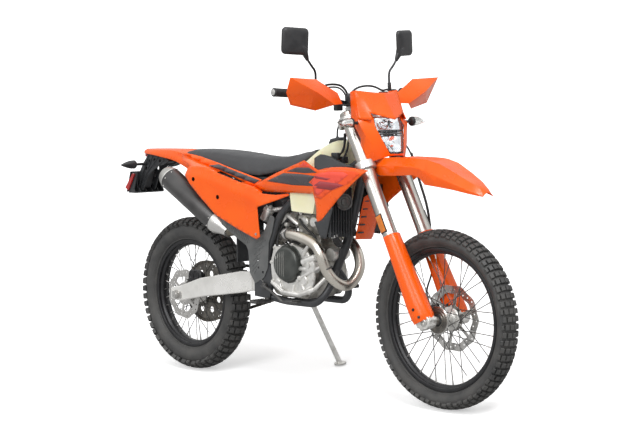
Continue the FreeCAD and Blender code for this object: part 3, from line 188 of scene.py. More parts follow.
add_lamp("key_lamp", 60, 75, 1.7, 24)
add_lamp("side_lamp", 38, 12, 1.0, 34)
floor_mesh = bmesh.new()
bmesh.ops.create_grid(floor_mesh, x_segments=2, y_segments=2, size=40)
floor_data = bpy.data.meshes.new("floor")
floor_mesh.to_mesh(floor_data)
floor_mesh.free()
new_object("floor", floor_data)
floor_finish = bpy.data.materials.new("floor_white")
floor_finish.use_nodes = True
tree = floor_finish.node_tree
glow = new_node(tree, "MapRange", {"Value": white_where_seen(tree), "To Max": 0.42})
paleness = new_node(
    tree, "Mix", {"A": (0.50, 0.50, 0.50, 1), "B": (0.93, 0.93, 0.93, 1), "Factor": white_where_seen(tree)},
    data_type="RGBA")
fed(tree, tree.nodes["Principled BSDF"],
    {"Roughness": 1.0, "Specular IOR Level": 0.0, "Emission Color": (1, 1, 1, 1),
     "Emission Strength": glow.outputs["Result"], "Base Color": paleness.outputs["Result"]})
floor_data.materials.append(floor_finish)
print("floor and lamps ready")

# %% [markdown]
# ## Finishes
# Every surface varies a little: a moulding has faint patches, a casting has grain, a turned
# part has fine rings. Three small node groups make those effects. Each finish mixes them
# in its own amounts. They all read Object coordinates, in metres.
# %% Node groups for patches, grain and scratches
def new_group(name, inputs, outputs):
    group = bpy.data.node_groups.new(name, "ShaderNodeTree")
    for label, kind, value in inputs:
        socket = group.interface.new_socket(label, in_out="INPUT", socket_type=kind)
        socket.default_value = value
    for label, kind in outputs:
        group.interface.new_socket(label, in_out="OUTPUT", socket_type=kind)
    return group, group.nodes.new("NodeGroupInput"), group.nodes.new("NodeGroupOutput")


def noise_in(tree, way_in, detail):
    """Noise over the surface point, which the group's own inputs stretch and scale."""
    given = way_in.outputs
    mapping = new_node(tree, "Mapping", {"Vector": given["Point"], "Scale": given["Stretch"]})
    noise = new_node(
        tree, "TexNoise", {"Vector": mapping.outputs["Vector"], "Scale": given["Scale"], "Detail": detail})
    return noise.outputs["Fac"]


def ramp_in(tree, value, low, high):
    """Spread the useful middle of a noise over 0 to 1."""
    return new_node(tree, "MapRange", {"Value": value, "From Min": low, "From Max": high}).outputs["Result"]


COMMON = [("Point", "NodeSocketVector", (0, 0, 0)), ("Stretch", "NodeSocketVector", (1, 1, 1)),
          ("Scale", "NodeSocketFloat", 10.0)]
COLOURS = [("Colour", "NodeSocketColor", (1, 1, 1, 1)), ("Shade", "NodeSocketColor", (0, 0, 0, 1))]
patches, way_in, way_out = new_group(
    "patches", COMMON + COLOURS, [("Colour", "NodeSocketColor"), ("Mask", "NodeSocketFloat")])
mask = ramp_in(patches, noise_in(patches, way_in, 4.0), 0.35, 0.65)
blend = new_node(
    patches, "Mix", {"Factor": mask, "A": way_in.outputs["Colour"], "B": way_in.outputs["Shade"]},
    data_type="RGBA")
fed(patches, way_out, {"Colour": blend.outputs["Result"], "Mask": mask})

grain, way_in, way_out = new_group("grain", COMMON, [("Height", "NodeSocketFloat")])
fed(grain, way_out, {"Height": noise_in(grain, way_in, 2.0)})

scuffs, way_in, way_out = new_group("scuffs", COMMON, [("Mask", "NodeSocketFloat")])
fed(scuffs, way_out, {"Mask": ramp_in(scuffs, noise_in(scuffs, way_in, 6.0), 0.56, 0.72)})
print("groups", [group.name for group in bpy.data.node_groups])

# %% [markdown]
# One helper then builds a finish: patches for the colour, grain for the bump, patches and
# scuffs for the roughness. Numbers that are the same all over go on the shader's own
# sockets.
# %% A finish from its numbers
FINISHES = {}


def place_group(tree, group, point, scale, stretch=(1, 1, 1)):
    holder = tree.nodes.new("ShaderNodeGroup")
    holder.node_tree = group
    return fed(tree, holder, {"Point": point, "Scale": scale, "Stretch": stretch})


SCUFF_SHARE = 0.12


def make_finish(name, slot, colour, shade, rough, metal, patch, grain_scale, bump, stretch=(1, 1, 1),
                depth=0.0004, **plain):
    """Patches of two colours, grain as a bump, and a roughness between two limits."""
    material = bpy.data.materials.new(name)
    material.use_nodes = True
    tree = material.node_tree
    point = new_node(tree, "TexCoord", {}).outputs["Object"]
    tone = place_group(tree, patches, point, patch)
    fed(tree, tone, {"Colour": (*colour, 1), "Shade": (*shade, 1)})
    marks = place_group(tree, scuffs, point, patch * 2.5, (1, 3, 1))
    worn = new_node(tree, "Math", {0: marks.outputs["Mask"], 1: SCUFF_SHARE, 2: tone.outputs["Mask"]},
                    operation="MULTIPLY_ADD")
    sheen = new_node(tree, "MapRange", {"Value": worn.outputs[0], "To Min": rough[0], "To Max": rough[1]})
    pores = place_group(tree, grain, point, grain_scale, stretch)
    relief = new_node(
        tree, "Bump", {"Strength": bump, "Distance": depth, "Height": pores.outputs["Height"]})
    fed(tree, tree.nodes["Principled BSDF"],
        {"Metallic": metal, "Base Color": tone.outputs["Colour"], "Roughness": sheen.outputs["Result"],
         "Normal": relief.outputs["Normal"], **plain})
    FINISHES[name] = material


def make_finishes(rows):
    """Each row ends with the finish's own extras."""
    for *values, extras in rows:
        make_finish(*values, **extras)


# %% [markdown]
# The plastics are moulded: even, slightly glossy orange, matt black with a fine grain, and
# a milky fuel tank. Metals differ by how they were made: cast, brushed, anodised or drawn.
# %% Plastics, rubber and metals
make_finishes([
    # name, slot, colour, shade, roughness, metal, patches, grain, bump, extras
    ("orange_plastic", "orange_plastic", (1.0, 0.128, 0.003), (0.97, 0.108, 0.001), (0.20, 0.32),
     0.0, 9, 1400, 0.05, {"Specular IOR Level": 0.42}),
    ("dark_plastic", "dark_plastic", (0.030, 0.032, 0.035), (0.042, 0.044, 0.047), (0.42, 0.58),
     0.0, 22, 1500, 0.25, {}),
    ("cream_tank", "cream_plastic", (0.98, 0.95, 0.68), (0.95, 0.91, 0.60), (0.30, 0.42),
     0.0, 14, 900, 0.06, {"Subsurface Weight": 0.06, "Subsurface Scale": 0.01}),
    ("frame_paint", "frame_paint", (0.050, 0.052, 0.056), (0.066, 0.068, 0.072), (0.30, 0.44),
     0.35, 20, 1100, 0.12, {}),
    ("cast_alloy", "engine_alloy", (0.52, 0.505, 0.465), (0.19, 0.18, 0.16), (0.30, 0.46),
     0.8, 26, 620, 0.35, {"depth": 0.0007}),
    # the clutch cover's ribs: lighter grey than the dark cover, a painted highlight along them
    ("cover_ribs", "engine_alloy", (0.30, 0.30, 0.28), (0.20, 0.20, 0.19), (0.28, 0.42),
     0.7, 24, 900, 0.16, {}),
    ("hub_grey", "bare_alloy", (0.25, 0.235, 0.21), (0.15, 0.14, 0.13), (0.28, 0.44),
     0.8, 40, 700, 0.12, {}),
    ("cover_dark", "engine_alloy", (0.060, 0.064, 0.060), (0.090, 0.095, 0.088), (0.30, 0.44),
     0.55, 24, 900, 0.16, {}),
    ("bright_alloy", "bare_alloy", (0.72, 0.71, 0.69), (0.60, 0.59, 0.57), (0.26, 0.42),
     0.9, 12, 260, 0.10, {"stretch": (0.12, 1, 1)}),
    ("arm_alloy", "bare_alloy", (0.92, 0.91, 0.88), (0.74, 0.73, 0.70), (0.24, 0.40),
     0.5, 10, 260, 0.12, {"stretch": (0.12, 1, 1)}),
    ("rough_alloy", "bare_alloy", (0.88, 0.87, 0.84), (0.66, 0.65, 0.62), (0.28, 0.46),
     0.62, 40, 520, 0.30, {"depth": 0.0006}),
    ("fork_alloy", "fork_alloy", (0.58, 0.565, 0.53), (0.47, 0.455, 0.42), (0.24, 0.36),
     0.95, 18, 700, 0.08, {"stretch": (0.3, 1, 0.3)}),
    ("steel", "steel", (0.66, 0.65, 0.63), (0.52, 0.51, 0.49), (0.20, 0.36),
     1.0, 40, 500, 0.10, {"stretch": (0.3, 1, 0.3)}),
    ("dark_steel", "steel", (0.16, 0.155, 0.15), (0.10, 0.10, 0.10), (0.30, 0.44), 0.9, 60, 700, 0.12, {}),
    ("silencer_skin", "silencer_alloy", (0.075, 0.074, 0.074), (0.098, 0.096, 0.095), (0.30, 0.42),
     0.7, 16, 500, 0.14, {"stretch": (0.2, 1, 0.6)}),
    ("cap_grey", "silencer_alloy", (0.42, 0.415, 0.39), (0.33, 0.325, 0.31), (0.30, 0.42),
     0.6, 30, 700, 0.14, {}),
    ("guard_grey", "frame_paint", (0.100, 0.104, 0.104), (0.135, 0.138, 0.136), (0.34, 0.48),
     0.0, 20, 1100, 0.16, {}),
    # near-black and dull: painted shade for the inside of the side panels' round openings
    ("deep_hole", "rubber", (0.006, 0.003, 0.003), (0.010, 0.005, 0.004), (0.8, 0.95),
     0.0, 60, 900, 0.1, {"Specular IOR Level": 0.05}),
    ("silencer_cap", "silencer_alloy", (0.26, 0.255, 0.25), (0.20, 0.195, 0.19), (0.30, 0.42),
     0.8, 30, 700, 0.14, {}),
    ("black_metal", "black_metal", (0.016, 0.016, 0.018), (0.026, 0.026, 0.028), (0.28, 0.42),
     0.3, 24, 1000, 0.12, {}),
    ("black_rubber", "rubber", (0.016, 0.016, 0.017), (0.026, 0.026, 0.027), (0.55, 0.72),
     0.0, 30, 1200, 0.25, {}),
    ("tyre_rubber", "tyre", (0.042, 0.042, 0.042), (0.078, 0.076, 0.073), (0.52, 0.74),
     0.0, 16, 800, 0.30, {"depth": 0.0006}),
    ("housing_black", "mirror_glass", (0.018, 0.018, 0.020), (0.028, 0.028, 0.030), (0.36, 0.50),
     0.0, 30, 1500, 0.2, {}),
    ("mirror_face", "mirror_glass", (0.88, 0.89, 0.90), (0.84, 0.85, 0.86), (0.02, 0.05),
     1.0, 20, 300, 0.01, {}),
    ("chain_steel", "chain_steel", (0.22, 0.20, 0.17), (0.13, 0.12, 0.11), (0.30, 0.46),
     0.9, 90, 800, 0.15, {}),
])
print("finishes", len(FINISHES))

# %% [markdown]
# ## Hands for modelling
# A few helpers cover most shapes: a block, a rod, a turned outline, a loft through cross
# sections, a flat plate, and a sheet laid over a surface. Each starts from a bmesh operator
# or a few vertices, on the upright machine, in millimetres. The last helper closes a shape,
# carries it to the parked machine and fixes it to the body that it moves with.
# %% Keep a finished shape
def mirror_across(mesh):
    """Add the other side of everything drawn so far."""
    geometry = list(mesh.verts) + list(mesh.edges) + list(mesh.faces)
    bmesh.ops.mirror(mesh, geom=geometry, merge_dist=0.0005, axis="Y")


def ride_on(piece, body, stands_for):
    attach(piece, body)
    if stands_for:
        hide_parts(*stands_for)


def keep(mesh, name, finish, body, stands_for=(), wall=0, edge=0, soft=0, sharp=32, place=None, flip=True,
         both=False):
    """Join, turn outwards, place, finish and fix a drawn shape; lengths are millimetres."""
    if both:
        mirror_across(mesh)
    bmesh.ops.remove_doubles(mesh, verts=mesh.verts, dist=0.01)
    if flip:
        bmesh.ops.recalc_face_normals(mesh, faces=mesh.faces)
    bmesh.ops.transform(mesh, matrix=PARKED @ (place or Matrix.Identity(4)), verts=mesh.verts)
    data = bpy.data.meshes.new(name)
    mesh.to_mesh(data)
    mesh.free()
    data.materials.append(FINISHES[finish])
    data.shade_smooth()
    data.set_sharp_from_angle(angle=radians(sharp))
    piece = new_object(name, data)
    if soft:
        smooth = piece.modifiers.new("smooth", "SUBSURF")
        smooth.levels = smooth.render_levels = soft
    if wall:
        shell = piece.modifiers.new("wall", "SOLIDIFY")
        shell.thickness = wall * 0.001
        shell.offset = -1
    if edge:
        rounding = piece.modifiers.new("edges", "BEVEL")
        rounding.width = edge * 0.001
        rounding.segments = 2
        rounding.limit_method = "ANGLE"
        rounding.angle_limit = radians(35)
    ride_on(piece, body, stands_for)
    return piece


# %% Blocks, rods and turned shapes
def edges_of(verts):
    return list({edge for vert in verts for edge in vert.link_edges})


def faces_of(verts):
    return list({face for vert in verts for face in vert.link_faces})


def round_edges(mesh, edges, width, segments=2):
    bmesh.ops.bevel(mesh, geom=edges, offset=width, offset_type="OFFSET", segments=segments, profile=0.5,
                    affect="EDGES", material=-1, clamp_overlap=True)


def added(mesh, make):
    """Run a drawing step and give the vertices that it made."""
    before = set(mesh.verts)
    make()
    return [vert for vert in mesh.verts if vert not in before]


def add_box(mesh, corner, other, edge=0.0, segments=2, place=None):
    """A block between two opposite corners."""
    low = Vector([min(pair) for pair in zip(corner, other)])
    high = Vector([max(pair) for pair in zip(corner, other)])
    stand = (place or Matrix.Identity(4)) @ Matrix.Translation((low + high) / 2)

    def draw():
        verts = bmesh.ops.create_cube(mesh, size=1)["verts"]
        bmesh.ops.transform(mesh, matrix=stand @ Matrix.Diagonal((*(high - low), 1)), verts=verts)
        if edge:
            round_edges(mesh, edges_of(verts), edge, segments)
    return added(mesh, draw)


def along(start, stop):
    """A frame whose Z runs from start to stop, at start."""
    run = Vector(stop) - Vector(start)
    return Matrix.Translation(Vector(start)) @ run.to_track_quat("Z", "Y").to_matrix().to_4x4()


def add_rod(mesh, start, stop, radius, end_radius=None, sides=16, edge=0.0):
    start, stop = Vector(start), Vector(stop)
    length = (stop - start).length

    def draw():
        stand = along(start, stop) @ Matrix.Translation((0, 0, length / 2))
        verts = bmesh.ops.create_cone(
            mesh, cap_ends=True, segments=sides, radius1=radius, depth=length,
            radius2=radius if end_radius is None else end_radius, matrix=stand)["verts"]
        if edge:
            rims = [e for e in edges_of(verts) if any(len(face.verts) > 4 for face in e.link_faces)]
            round_edges(mesh, rims, edge)
    return added(mesh, draw)


def add_turned(mesh, outline, start, axis=LEFT, steps=48):
    """Turn an outline of (along the axis, radius) once round an axis through start."""
    def draw():
        verts = [mesh.verts.new((radius, 0, reach)) for reach, radius in outline]
        edges = [mesh.edges.new(pair) for pair in zip(verts, verts[1:])]
        bmesh.ops.spin(mesh, geom=verts + edges, cent=(0, 0, 0), axis=UP, dvec=(0, 0, 0), angle=2 * pi,
                       steps=steps, use_merge=True)
    verts = added(mesh, draw)
    bmesh.ops.transform(mesh, matrix=along(start, Vector(start) + Vector(axis)), verts=verts)
    return verts


def repeat_round(mesh, verts, centre, axis, count):
    """Copy a shape evenly round an axis until there are count of it."""
    geometry = list(verts) + edges_of(verts) + faces_of(verts)
    bmesh.ops.spin(mesh, geom=geometry, cent=centre, axis=axis, dvec=(0, 0, 0),
                   angle=2 * pi * (count - 1) / count, steps=count - 1, use_duplicate=True)


# %% Lofts, plates and laid sheets
def add_loft(mesh, rings, caps=True):
    """Join closed cross sections, given as lists of points, into one skin."""
    def draw():
        loops = []
        for ring in rings:
            verts = [mesh.verts.new(point) for point in ring]
            loops.append([mesh.edges.new(pair) for pair in zip(verts, verts[1:] + verts[:1])])
        for near, far in zip(loops, loops[1:]):
            bmesh.ops.bridge_loops(mesh, edges=near + far)
        if caps:
            for loop in (loops[0], loops[-1]):
                bmesh.ops.contextual_create(mesh, geom=loop)
    return added(mesh, draw)


def outline_face(mesh, outline, corner, y=0.0):
    """A flat face in X and Z with its corners rounded."""
    def draw():
        verts = [mesh.verts.new((x, y, z)) for x, z in outline]
        mesh.faces.new(verts)
        if corner:
            bmesh.ops.bevel(mesh, geom=verts, offset=corner, segments=4, profile=0.5, affect="VERTICES",
                            material=-1, clamp_overlap=True)
    return added(mesh, draw)


def circle_across(mesh, spot, radius, steps):
    """A ring of edges in X and Z."""
    stand = Matrix.Translation(spot) @ Matrix.Rotation(pi / 2, 4, "X")
    return bmesh.ops.create_circle(
        mesh, cap_ends=False, segments=steps, radius=radius, matrix=stand)["verts"]


def add_plate(mesh, outline, y_from, y_to, corner=0.0, holes=(), edge=0.0):
    """A plate across Y, with round holes given as (x, z, radius)."""
    def draw():
        verts = outline_face(mesh, outline, corner, y_from)
        face = verts[0].link_faces[0]
        flat = [face]
        if holes:
            rim = list(face.edges)
            bmesh.ops.delete(mesh, geom=[face], context="FACES_ONLY")
            for x, z, radius in holes:
                rim += edges_of(circle_across(mesh, (x, y_from, z), radius, 14))
            filled = bmesh.ops.triangle_fill(mesh, use_beauty=True, edges=rim, normal=(0, 1, 0))
            flat = [item for item in filled["geom"] if isinstance(item, bmesh.types.BMFace)]
        bmesh.ops.solidify(mesh, geom=flat, thickness=abs(y_to - y_from))
    made = added(mesh, draw)
    astray = min(y_from, y_to) - min(vert.co.y for vert in made)
    bmesh.ops.translate(mesh, vec=(0, astray, 0), verts=made)
    bmesh.ops.recalc_face_normals(mesh, faces=faces_of(made))
    if edge:
        rims = [e for e in edges_of(made) if len(e.link_faces) == 2 and e.calc_face_angle(0) > 0.6]
        return made + added(mesh, lambda: round_edges(mesh, rims, edge, 1))
    return made


def add_sheet(mesh, outline, depth, step=16.0, creases=(), corner=0.0):
    """Cut a sheet to an outline in X and Z, divide it, and lay it at y = depth(x, z)."""
    made = set(outline_face(mesh, outline, corner))
    cuts = []
    for axis, index in (((1, 0, 0), 0), ((0, 0, 1), 1)):
        values = [point[index] for point in outline]
        spot = min(values) + step
        while spot < max(values) - 1:
            cuts.append((Vector(axis) * spot, Vector(axis)))
            spot += step
    for (x0, z0), (x1, z1) in creases:
        cuts.append((Vector((x0, 0, z0)), Vector((z0 - z1, 0, x1 - x0)).normalized()))
    for spot, normal in cuts:
        made = {vert for vert in made if vert.is_valid}
        geometry = list(made) + edges_of(made) + faces_of(made)
        cut = bmesh.ops.bisect_plane(mesh, geom=geometry, dist=0.05, plane_co=spot, plane_no=normal)
        made.update(item for item in cut["geom_cut"] if isinstance(item, bmesh.types.BMVert))
    for vert in made:
        vert.co.y = depth(vert.co.x, vert.co.z)
    return list(made)


# %% Bent tubes
def bent_tube(name, points, radius, finish, body, stands_for=(), order=3, sides=5, caps=True):
    """A round tube that follows a smooth spline through the neighbourhood of its points."""
    data = bpy.data.curves.new(name, "CURVE")
    data.dimensions = "3D"
    spline = data.splines.new("NURBS")
    spline.points.add(len(points) - 1)
    for knot, point in zip(spline.points, points):
        knot.co = (*(PARKED @ Vector(point)), 1)
    spline.order_u = order
    spline.use_endpoint_u = True
    spline.resolution_u = 10
    data.bevel_depth = radius * 0.001
    data.bevel_resolution = sides
    data.use_fill_caps = caps
    data.materials.append(FINISHES[finish])
    piece = new_object(name, data)
    ride_on(piece, body, stands_for)
    return piece


def add_bolt(mesh, spot, way, radius, height, sides=6):
    """A bolt head: a washer and a hexagon."""
    spot, way = Vector(spot), Vector(way).normalized()
    add_rod(mesh, spot, spot + way * height * 0.3, radius * 1.3, sides=12)
    add_rod(mesh, spot + way * height * 0.3, spot + way * height, radius, sides=sides, edge=radius * 0.12)


print("helpers ready")

# %% [markdown]
# ## The front brake hose
# A rubber hose leaves the master cylinder on the bar, passes behind the headlight mask,
# goes round the left fork leg and ends in the caliper. It is one smooth spline through the
# neighbourhood of its route's points, so it bends like rubber and not like wire.
# %% Hose
hose_route = [
    (1050.3, -236, 1200), (1064, -236, 1200), (1074, -216, 1180), (1074, -140, 1162), (1078, -104, 1160),
    (1094, -50, 1156), (1096, 40, 1160), (1080, 96, 1166), (1076, 138, 1148), (1090, 154, 1108),
    (1112, 148, 1050), (1152, 138, 1008), (1200, 128, 968), (1240, 126, 868), (1284, 127, 765)]
hose_route += [steering_point(20, 139, 385), steering_point(-6, 134, 300), steering_point(-26, 112, 215),
               steering_point(-52, 74, 160), steering_point(-52, 62, 122), steering_point(-52, 62, 94.3)]
hose = bent_tube("brake_hose", hose_route, 3.5, "black_rubber", "steering", ["front_brake_hose"])
bent_tube("hose_sleeve", hose_route[12:17], 5.2, "black_rubber", "steering")
print("hose points", len(hose_route))

# %% [markdown]
# ## Tyres
# A block tyre is a smooth carcass with rubber blocks on its crown. The carcass is an
# outline turned round the axle. Each kind of block is modelled once, at the top of the
# wheel, and spin copies it round, so the pattern stays exact and light.
# %% Carcass and blocks
BLOCK_ROOT, BLOCK_TAPER = 4.0, 0.84


def add_block(mesh, ring, crown, across, wide, long, rise, ahead):
    """One tread block: it stands on the crown arc, with its sides drawn in towards the top."""
    tall = rise + BLOCK_ROOT
    tilt = Matrix.Rotation(-across / crown, 4, "X")
    stand = Matrix.Translation((0, 0, ring)) @ tilt @ Matrix.Translation((0, 0, crown - tall))

    def draw():
        verts = bmesh.ops.create_cube(mesh, size=1)["verts"]
        bmesh.ops.scale(mesh, vec=(long, wide, tall), verts=verts)
        bmesh.ops.translate(mesh, vec=(0, 0, tall / 2), verts=verts)
        crest = [vert for vert in verts if vert.co.z > tall / 2]
        bmesh.ops.scale(mesh, vec=(BLOCK_TAPER, BLOCK_TAPER, 1), verts=crest)
        top_edges = [edge for edge in edges_of(verts) if all(vert in crest for vert in edge.verts)]
        round_edges(mesh, top_edges, 1.4, 1)
    made = added(mesh, draw)
    bmesh.ops.transform(mesh, matrix=Matrix.Rotation(ahead, 4, "Y") @ stand, verts=made)
    return made


def make_tyre(end, centre, ring, crown, carcass, rows, pitches):
    mesh = bmesh.new()
    outline = carcass + [(-y, r) for y, r in reversed(carcass[:-1])]
    outline.append(outline[0])
    add_turned(mesh, outline, (0, 0, 0), steps=96)
    for shift, across, wide, long, rise in rows:
        verts = add_block(mesh, ring, crown, across, wide, long, rise, 2 * pi / pitches * shift)
        repeat_round(mesh, verts, (0, 0, 0), LEFT, pitches)
    return keep(mesh, end + "_block_tyre", "tyre_rubber", end + "_wheel", [end + "_tyre"],
                place=Matrix.Translation(centre), sharp=28)


front_carcass = [(18.5, 270), (20, 276), (25, 279), (26, 283), (33, 287), (39, 296), (41.5, 303),
                 (41.5, 309), (38.5, 317), (31, 325), (18, 331.5), (0, 334)]
front_rows = []
for side in SIDES:
    front_rows += [
        (0.0, side * 10.5, 18.5, 22, 9), (0.0, side * 32, 18, 22, 10), (0.0, side * 50.5, 12, 20, 9),
        (0.5, side * 20.5, 19, 20, 9), (0.5, side * 43, 17, 23, 10)]
front_rows.append((0.5, 0.0, 15, 20, 9))
FRONT_PITCHES, REAR_PITCHES = 36, 28
make_tyre("front", FRONT_AXLE, 283, 61, front_carcass, front_rows, FRONT_PITCHES)
rear_carcass = [(25.5, 232), (27, 238), (33, 241), (34, 246), (42, 251), (49, 263), (51, 272), (50, 282),
                (46, 293), (38, 306), (22, 318), (0, 323.5)]
rear_rows = []
for side in SIDES:
    rear_rows += [(0.0, side * 14, 25, 27, 11), (0.0, side * 42.5, 22, 27, 12),
                  (0.0, side * 61, 12, 22, 10), (0.5, side * 30, 26, 26, 11), (0.5, side * 54, 16, 28, 12)]
rear_rows.append((0.5, 0.0, 24, 26, 11))
make_tyre("rear", REAR_AXLE, 266, 70, rear_carcass, rear_rows, REAR_PITCHES)
print("blocks", FRONT_PITCHES * len(front_rows), "and", REAR_PITCHES * len(rear_rows))

# %% [markdown]
# ## Rims, spokes and hubs
# The rims are black, deep channels with rolled lips. Thirty-six thin spokes cross from the
# hub flanges to nipples in the rim's well. Half of them lean forwards and half backwards.
# %% Rims
def make_rim(end, centre, bead, inside):
    """A channel between two lips: its outer skin, then its lining, on both sides."""
    half = inside / 2
    skin = [(half, bead + 7.5), (half + 1, bead + 8.5), (half + 3, bead + 8.5), (half + 4, bead + 7),
            (half + 4, bead - 3), (half + 2.5, bead - 5), (half * 0.68, bead - 6),
            (half * 0.5, bead - 13.5), (half * 0.35, bead - 16)]
    lining = [(half * 0.40, bead - 12), (half * 0.62, bead - 1), (half, bead)]
    mesh = bmesh.new()
    outline = skin + [(-y, r) for y, r in skin[::-1]] + [(-y, r) for y, r in lining[::-1]] + lining
    outline.append(outline[0])
    add_turned(mesh, outline, (0, 0, 0), steps=96)
    return keep(mesh, end + "_channel_rim", "black_metal", end + "_wheel", [end + "_rim"],
                place=Matrix.Translation(centre), sharp=40)


FRONT_BEAD, REAR_BEAD = 266.5, 228.6
make_rim("front", FRONT_AXLE, FRONT_BEAD, 40.6)
make_rim("rear", REAR_AXLE, REAR_BEAD, 54.6)


# %% Spokes and nipples
SPOKES = 36


def spoke_ends(index, foot_radius, tip_radius):
    """Where a spoke leaves the hub's flange and where it meets the rim."""
    side = 1 if index % 2 else -1
    lead = 1 if index % 4 < 2 else -1
    angle = 2 * pi * index / SPOKES
    away = angle + lead * radians(58)
    start = Vector((foot_radius * cos(away), side * 30, foot_radius * sin(away)))
    stop = Vector((tip_radius * cos(angle), side * 4, tip_radius * sin(angle)))
    return start, stop


def make_spokes(end, centre, bead):
    wires, nipples = bmesh.new(), bmesh.new()
    for index in range(SPOKES):
        start, stop = spoke_ends(index, 41, bead - 16.8)
        inward = (start - stop).normalized()
        add_rod(wires, start, stop + inward * 4, 1.7, sides=7)
        add_rod(nipples, stop + inward * 18, stop, 2.6, 3.4, sides=8)
        outside = Vector((0, 1 if start.y > 0 else -1, 0))
        add_rod(nipples, start + outside * 1.0, start + outside * 5.0, 3.4, 2.4, sides=8)
    here = Matrix.Translation(centre)
    keep(wires, end + "_spokes", "dark_steel", end + "_wheel", [end + "_hub"], place=here)
    keep(nipples, end + "_nipples", "steel", end + "_wheel", place=here)


make_spokes("front", FRONT_AXLE, FRONT_BEAD)
make_spokes("rear", REAR_AXLE, REAR_BEAD)


# %% Hubs
def make_hub(end, centre, left, right, extra):
    """Barrel and two spoke flanges, with their corners eased."""
    mesh = bmesh.new()
    outline = [(left, 12.3), (left, 24), (left + 5, 26), (-36, 30), (-34, 45), (-32.5, 46), (-28, 46),
               (-26.5, 44), (-25, 30), (-20, 24), (0, 21), (20, 24), (25, 30), (26.5, 44), (28, 46),
               (32.5, 46), (34, 45), (36, 30), (right - 5, 26), (right, 24), (right, 12.3), (left, 12.3)]
    add_turned(mesh, outline, (0, 0, 0), steps=48)
    for y, radius, wall in extra:
        repeat_round(mesh, add_box(mesh, (-6, y, 20), (6, y + wall, radius), 1.5), (0, 0, 0), LEFT, 6)
    return keep(mesh, end + "_hub_body", "rough_alloy", end + "_wheel", place=Matrix.Translation(centre))


make_hub("front", FRONT_AXLE, -38, 44, [(38, 50, 6)])
make_hub("rear", REAR_AXLE, -61, 64.4, [(-61, 48, 8), (56, 52, 8)])

for name, finish, outline, steps, sharp in (
        ("front_hub_seal", "black_rubber",
         [(-45.5, 17.6), (-45.5, 21), (-44, 22), (-43, 22), (-43, 17.6), (-45.5, 17.6)], 40, 32),
        ("hub_cover", "hub_grey",
         [(-44, 22), (-44, 27), (-42.4, 28), (-42.4, 31), (-44, 32), (-44, 38), (-42.6, 39), (-42.6, 42),
          (-43.6, 43), (-43.6, 47), (-42, 49), (-38, 49), (-37, 47), (-37, 20), (-43, 20), (-44, 22)], 56,
         30),
        ("front_hub_ring", "steel",
         [(-42, 49.2), (-43.5, 50), (-43.5, 53), (-42, 54), (-38, 54), (-37, 53), (-37, 49.2), (-42, 49.2)],
         60, 32)):
    disc = bmesh.new()
    add_turned(disc, outline, (0, 0, 0), steps=steps)
    keep(disc, name, finish, "front_wheel", place=Matrix.Translation(FRONT_AXLE), sharp=sharp)
print("wheel centres done")

# %% [markdown]
# ## Brake discs, sprocket and chain
# The discs are cut from sheet: the rim waves in and out, holes cool it, and arms carry it
# on the hub. A circle gives the outline, and moving its points in and out makes the waves.
# The sprocket's teeth are made in the same way.
# %% Wavy and toothed plates
def add_wavy_plate(mesh, outer, inner, holes, y_from, y_to, steps):
    """A plate between two outlines, each a function of the angle, with holes (ring, angle, radius)."""
    def draw():
        rims = []
        for outline in (outer, inner):
            verts = circle_across(mesh, (0, 0, 0), 1, steps)
            rims += edges_of(verts)
            for vert in verts:
                vert.co *= outline(atan2(vert.co.z, vert.co.x))
        for ring_radius, angle, radius in holes:
            spot = (ring_radius * cos(angle), 0, ring_radius * sin(angle))
            rims += edges_of(circle_across(mesh, spot, radius, 8))
        filled = bmesh.ops.triangle_fill(mesh, use_beauty=True, edges=rims, normal=(0, 1, 0))["geom"]
        faces = [item for item in filled if isinstance(item, bmesh.types.BMFace)]
        bmesh.ops.solidify(mesh, geom=faces, thickness=y_to - y_from)
    made = added(mesh, draw)
    bmesh.ops.translate(mesh, vec=(0, y_from - min(vert.co.y for vert in made), 0), verts=made)
    return made


def make_disc(end, centre, y, radius, waves):
    def outer(angle):
        return radius - 3.2 + 3.2 * cos(waves * angle)

    def inner(angle):
        return radius - 33 + 3.0 * cos(waves * angle)

    holes = [
        (radius - 11 - 7 * (index % 3), 2 * pi * index / (waves * 3), 3.4) for index in range(waves * 3)]
    mesh = bmesh.new()
    add_wavy_plate(mesh, outer, inner, holes, y - 1.5, y + 1.5, waves * 12)
    for index in range(6):
        swing = Matrix.Rotation(2 * pi * index / 6, 4, "Y")
        add_box(mesh, (-7, y - 1.2, 34), (7, y + 1.2, radius - 31), 0.6,
                place=swing @ Matrix.Rotation(0.16, 4, "Y"))
        add_rod(mesh, swing @ Vector((0, y - 3.5, 44)), swing @ Vector((0, y + 3.5, 44)), 5.5, sides=6,
                edge=0.6)
    add_turned(mesh, [(y - 1.4, 27), (y - 1.4, 50), (y + 1.4, 50), (y + 1.4, 27), (y - 1.4, 27)], (0, 0, 0),
               steps=36)
    keep(mesh, end + "_wave_disc", "steel", end + "_wheel", [end + "_disc"],
         place=Matrix.Translation(centre))


make_disc("front", FRONT_AXLE, 45.5, 130, 10)
make_disc("rear", REAR_AXLE, -62.5, 110, 9)


TEETH = 52


def tooth_radius(angle):
    """The sprocket's edge between root and tip."""
    phase = (angle * TEETH / (2 * pi)) % 1
    return 127.5 + 7.0 * max(0.0, cos(2 * pi * (phase - 0.5))) ** 0.7


sprocket = bmesh.new()
windows = [(86, 2 * pi * (index + 0.5) / 8, 14.5) for index in range(8)]
windows += [(112, 2 * pi * index / 16, 4.5) for index in range(16)]
add_wavy_plate(sprocket, tooth_radius, lambda angle: 27.0, windows, 64.6, 70.4, TEETH * 6)
for index in range(6):
    spot = Matrix.Rotation(2 * pi * index / 6, 4, "Y") @ Vector((0, 70.4, 50))
    add_bolt(sprocket, spot, LEFT, 6, 5)
keep(sprocket, "toothed_sprocket", "hub_grey", "rear_wheel", ["rear_sprocket"],
     place=Matrix.Translation(REAR_AXLE))
print("discs and sprocket done")


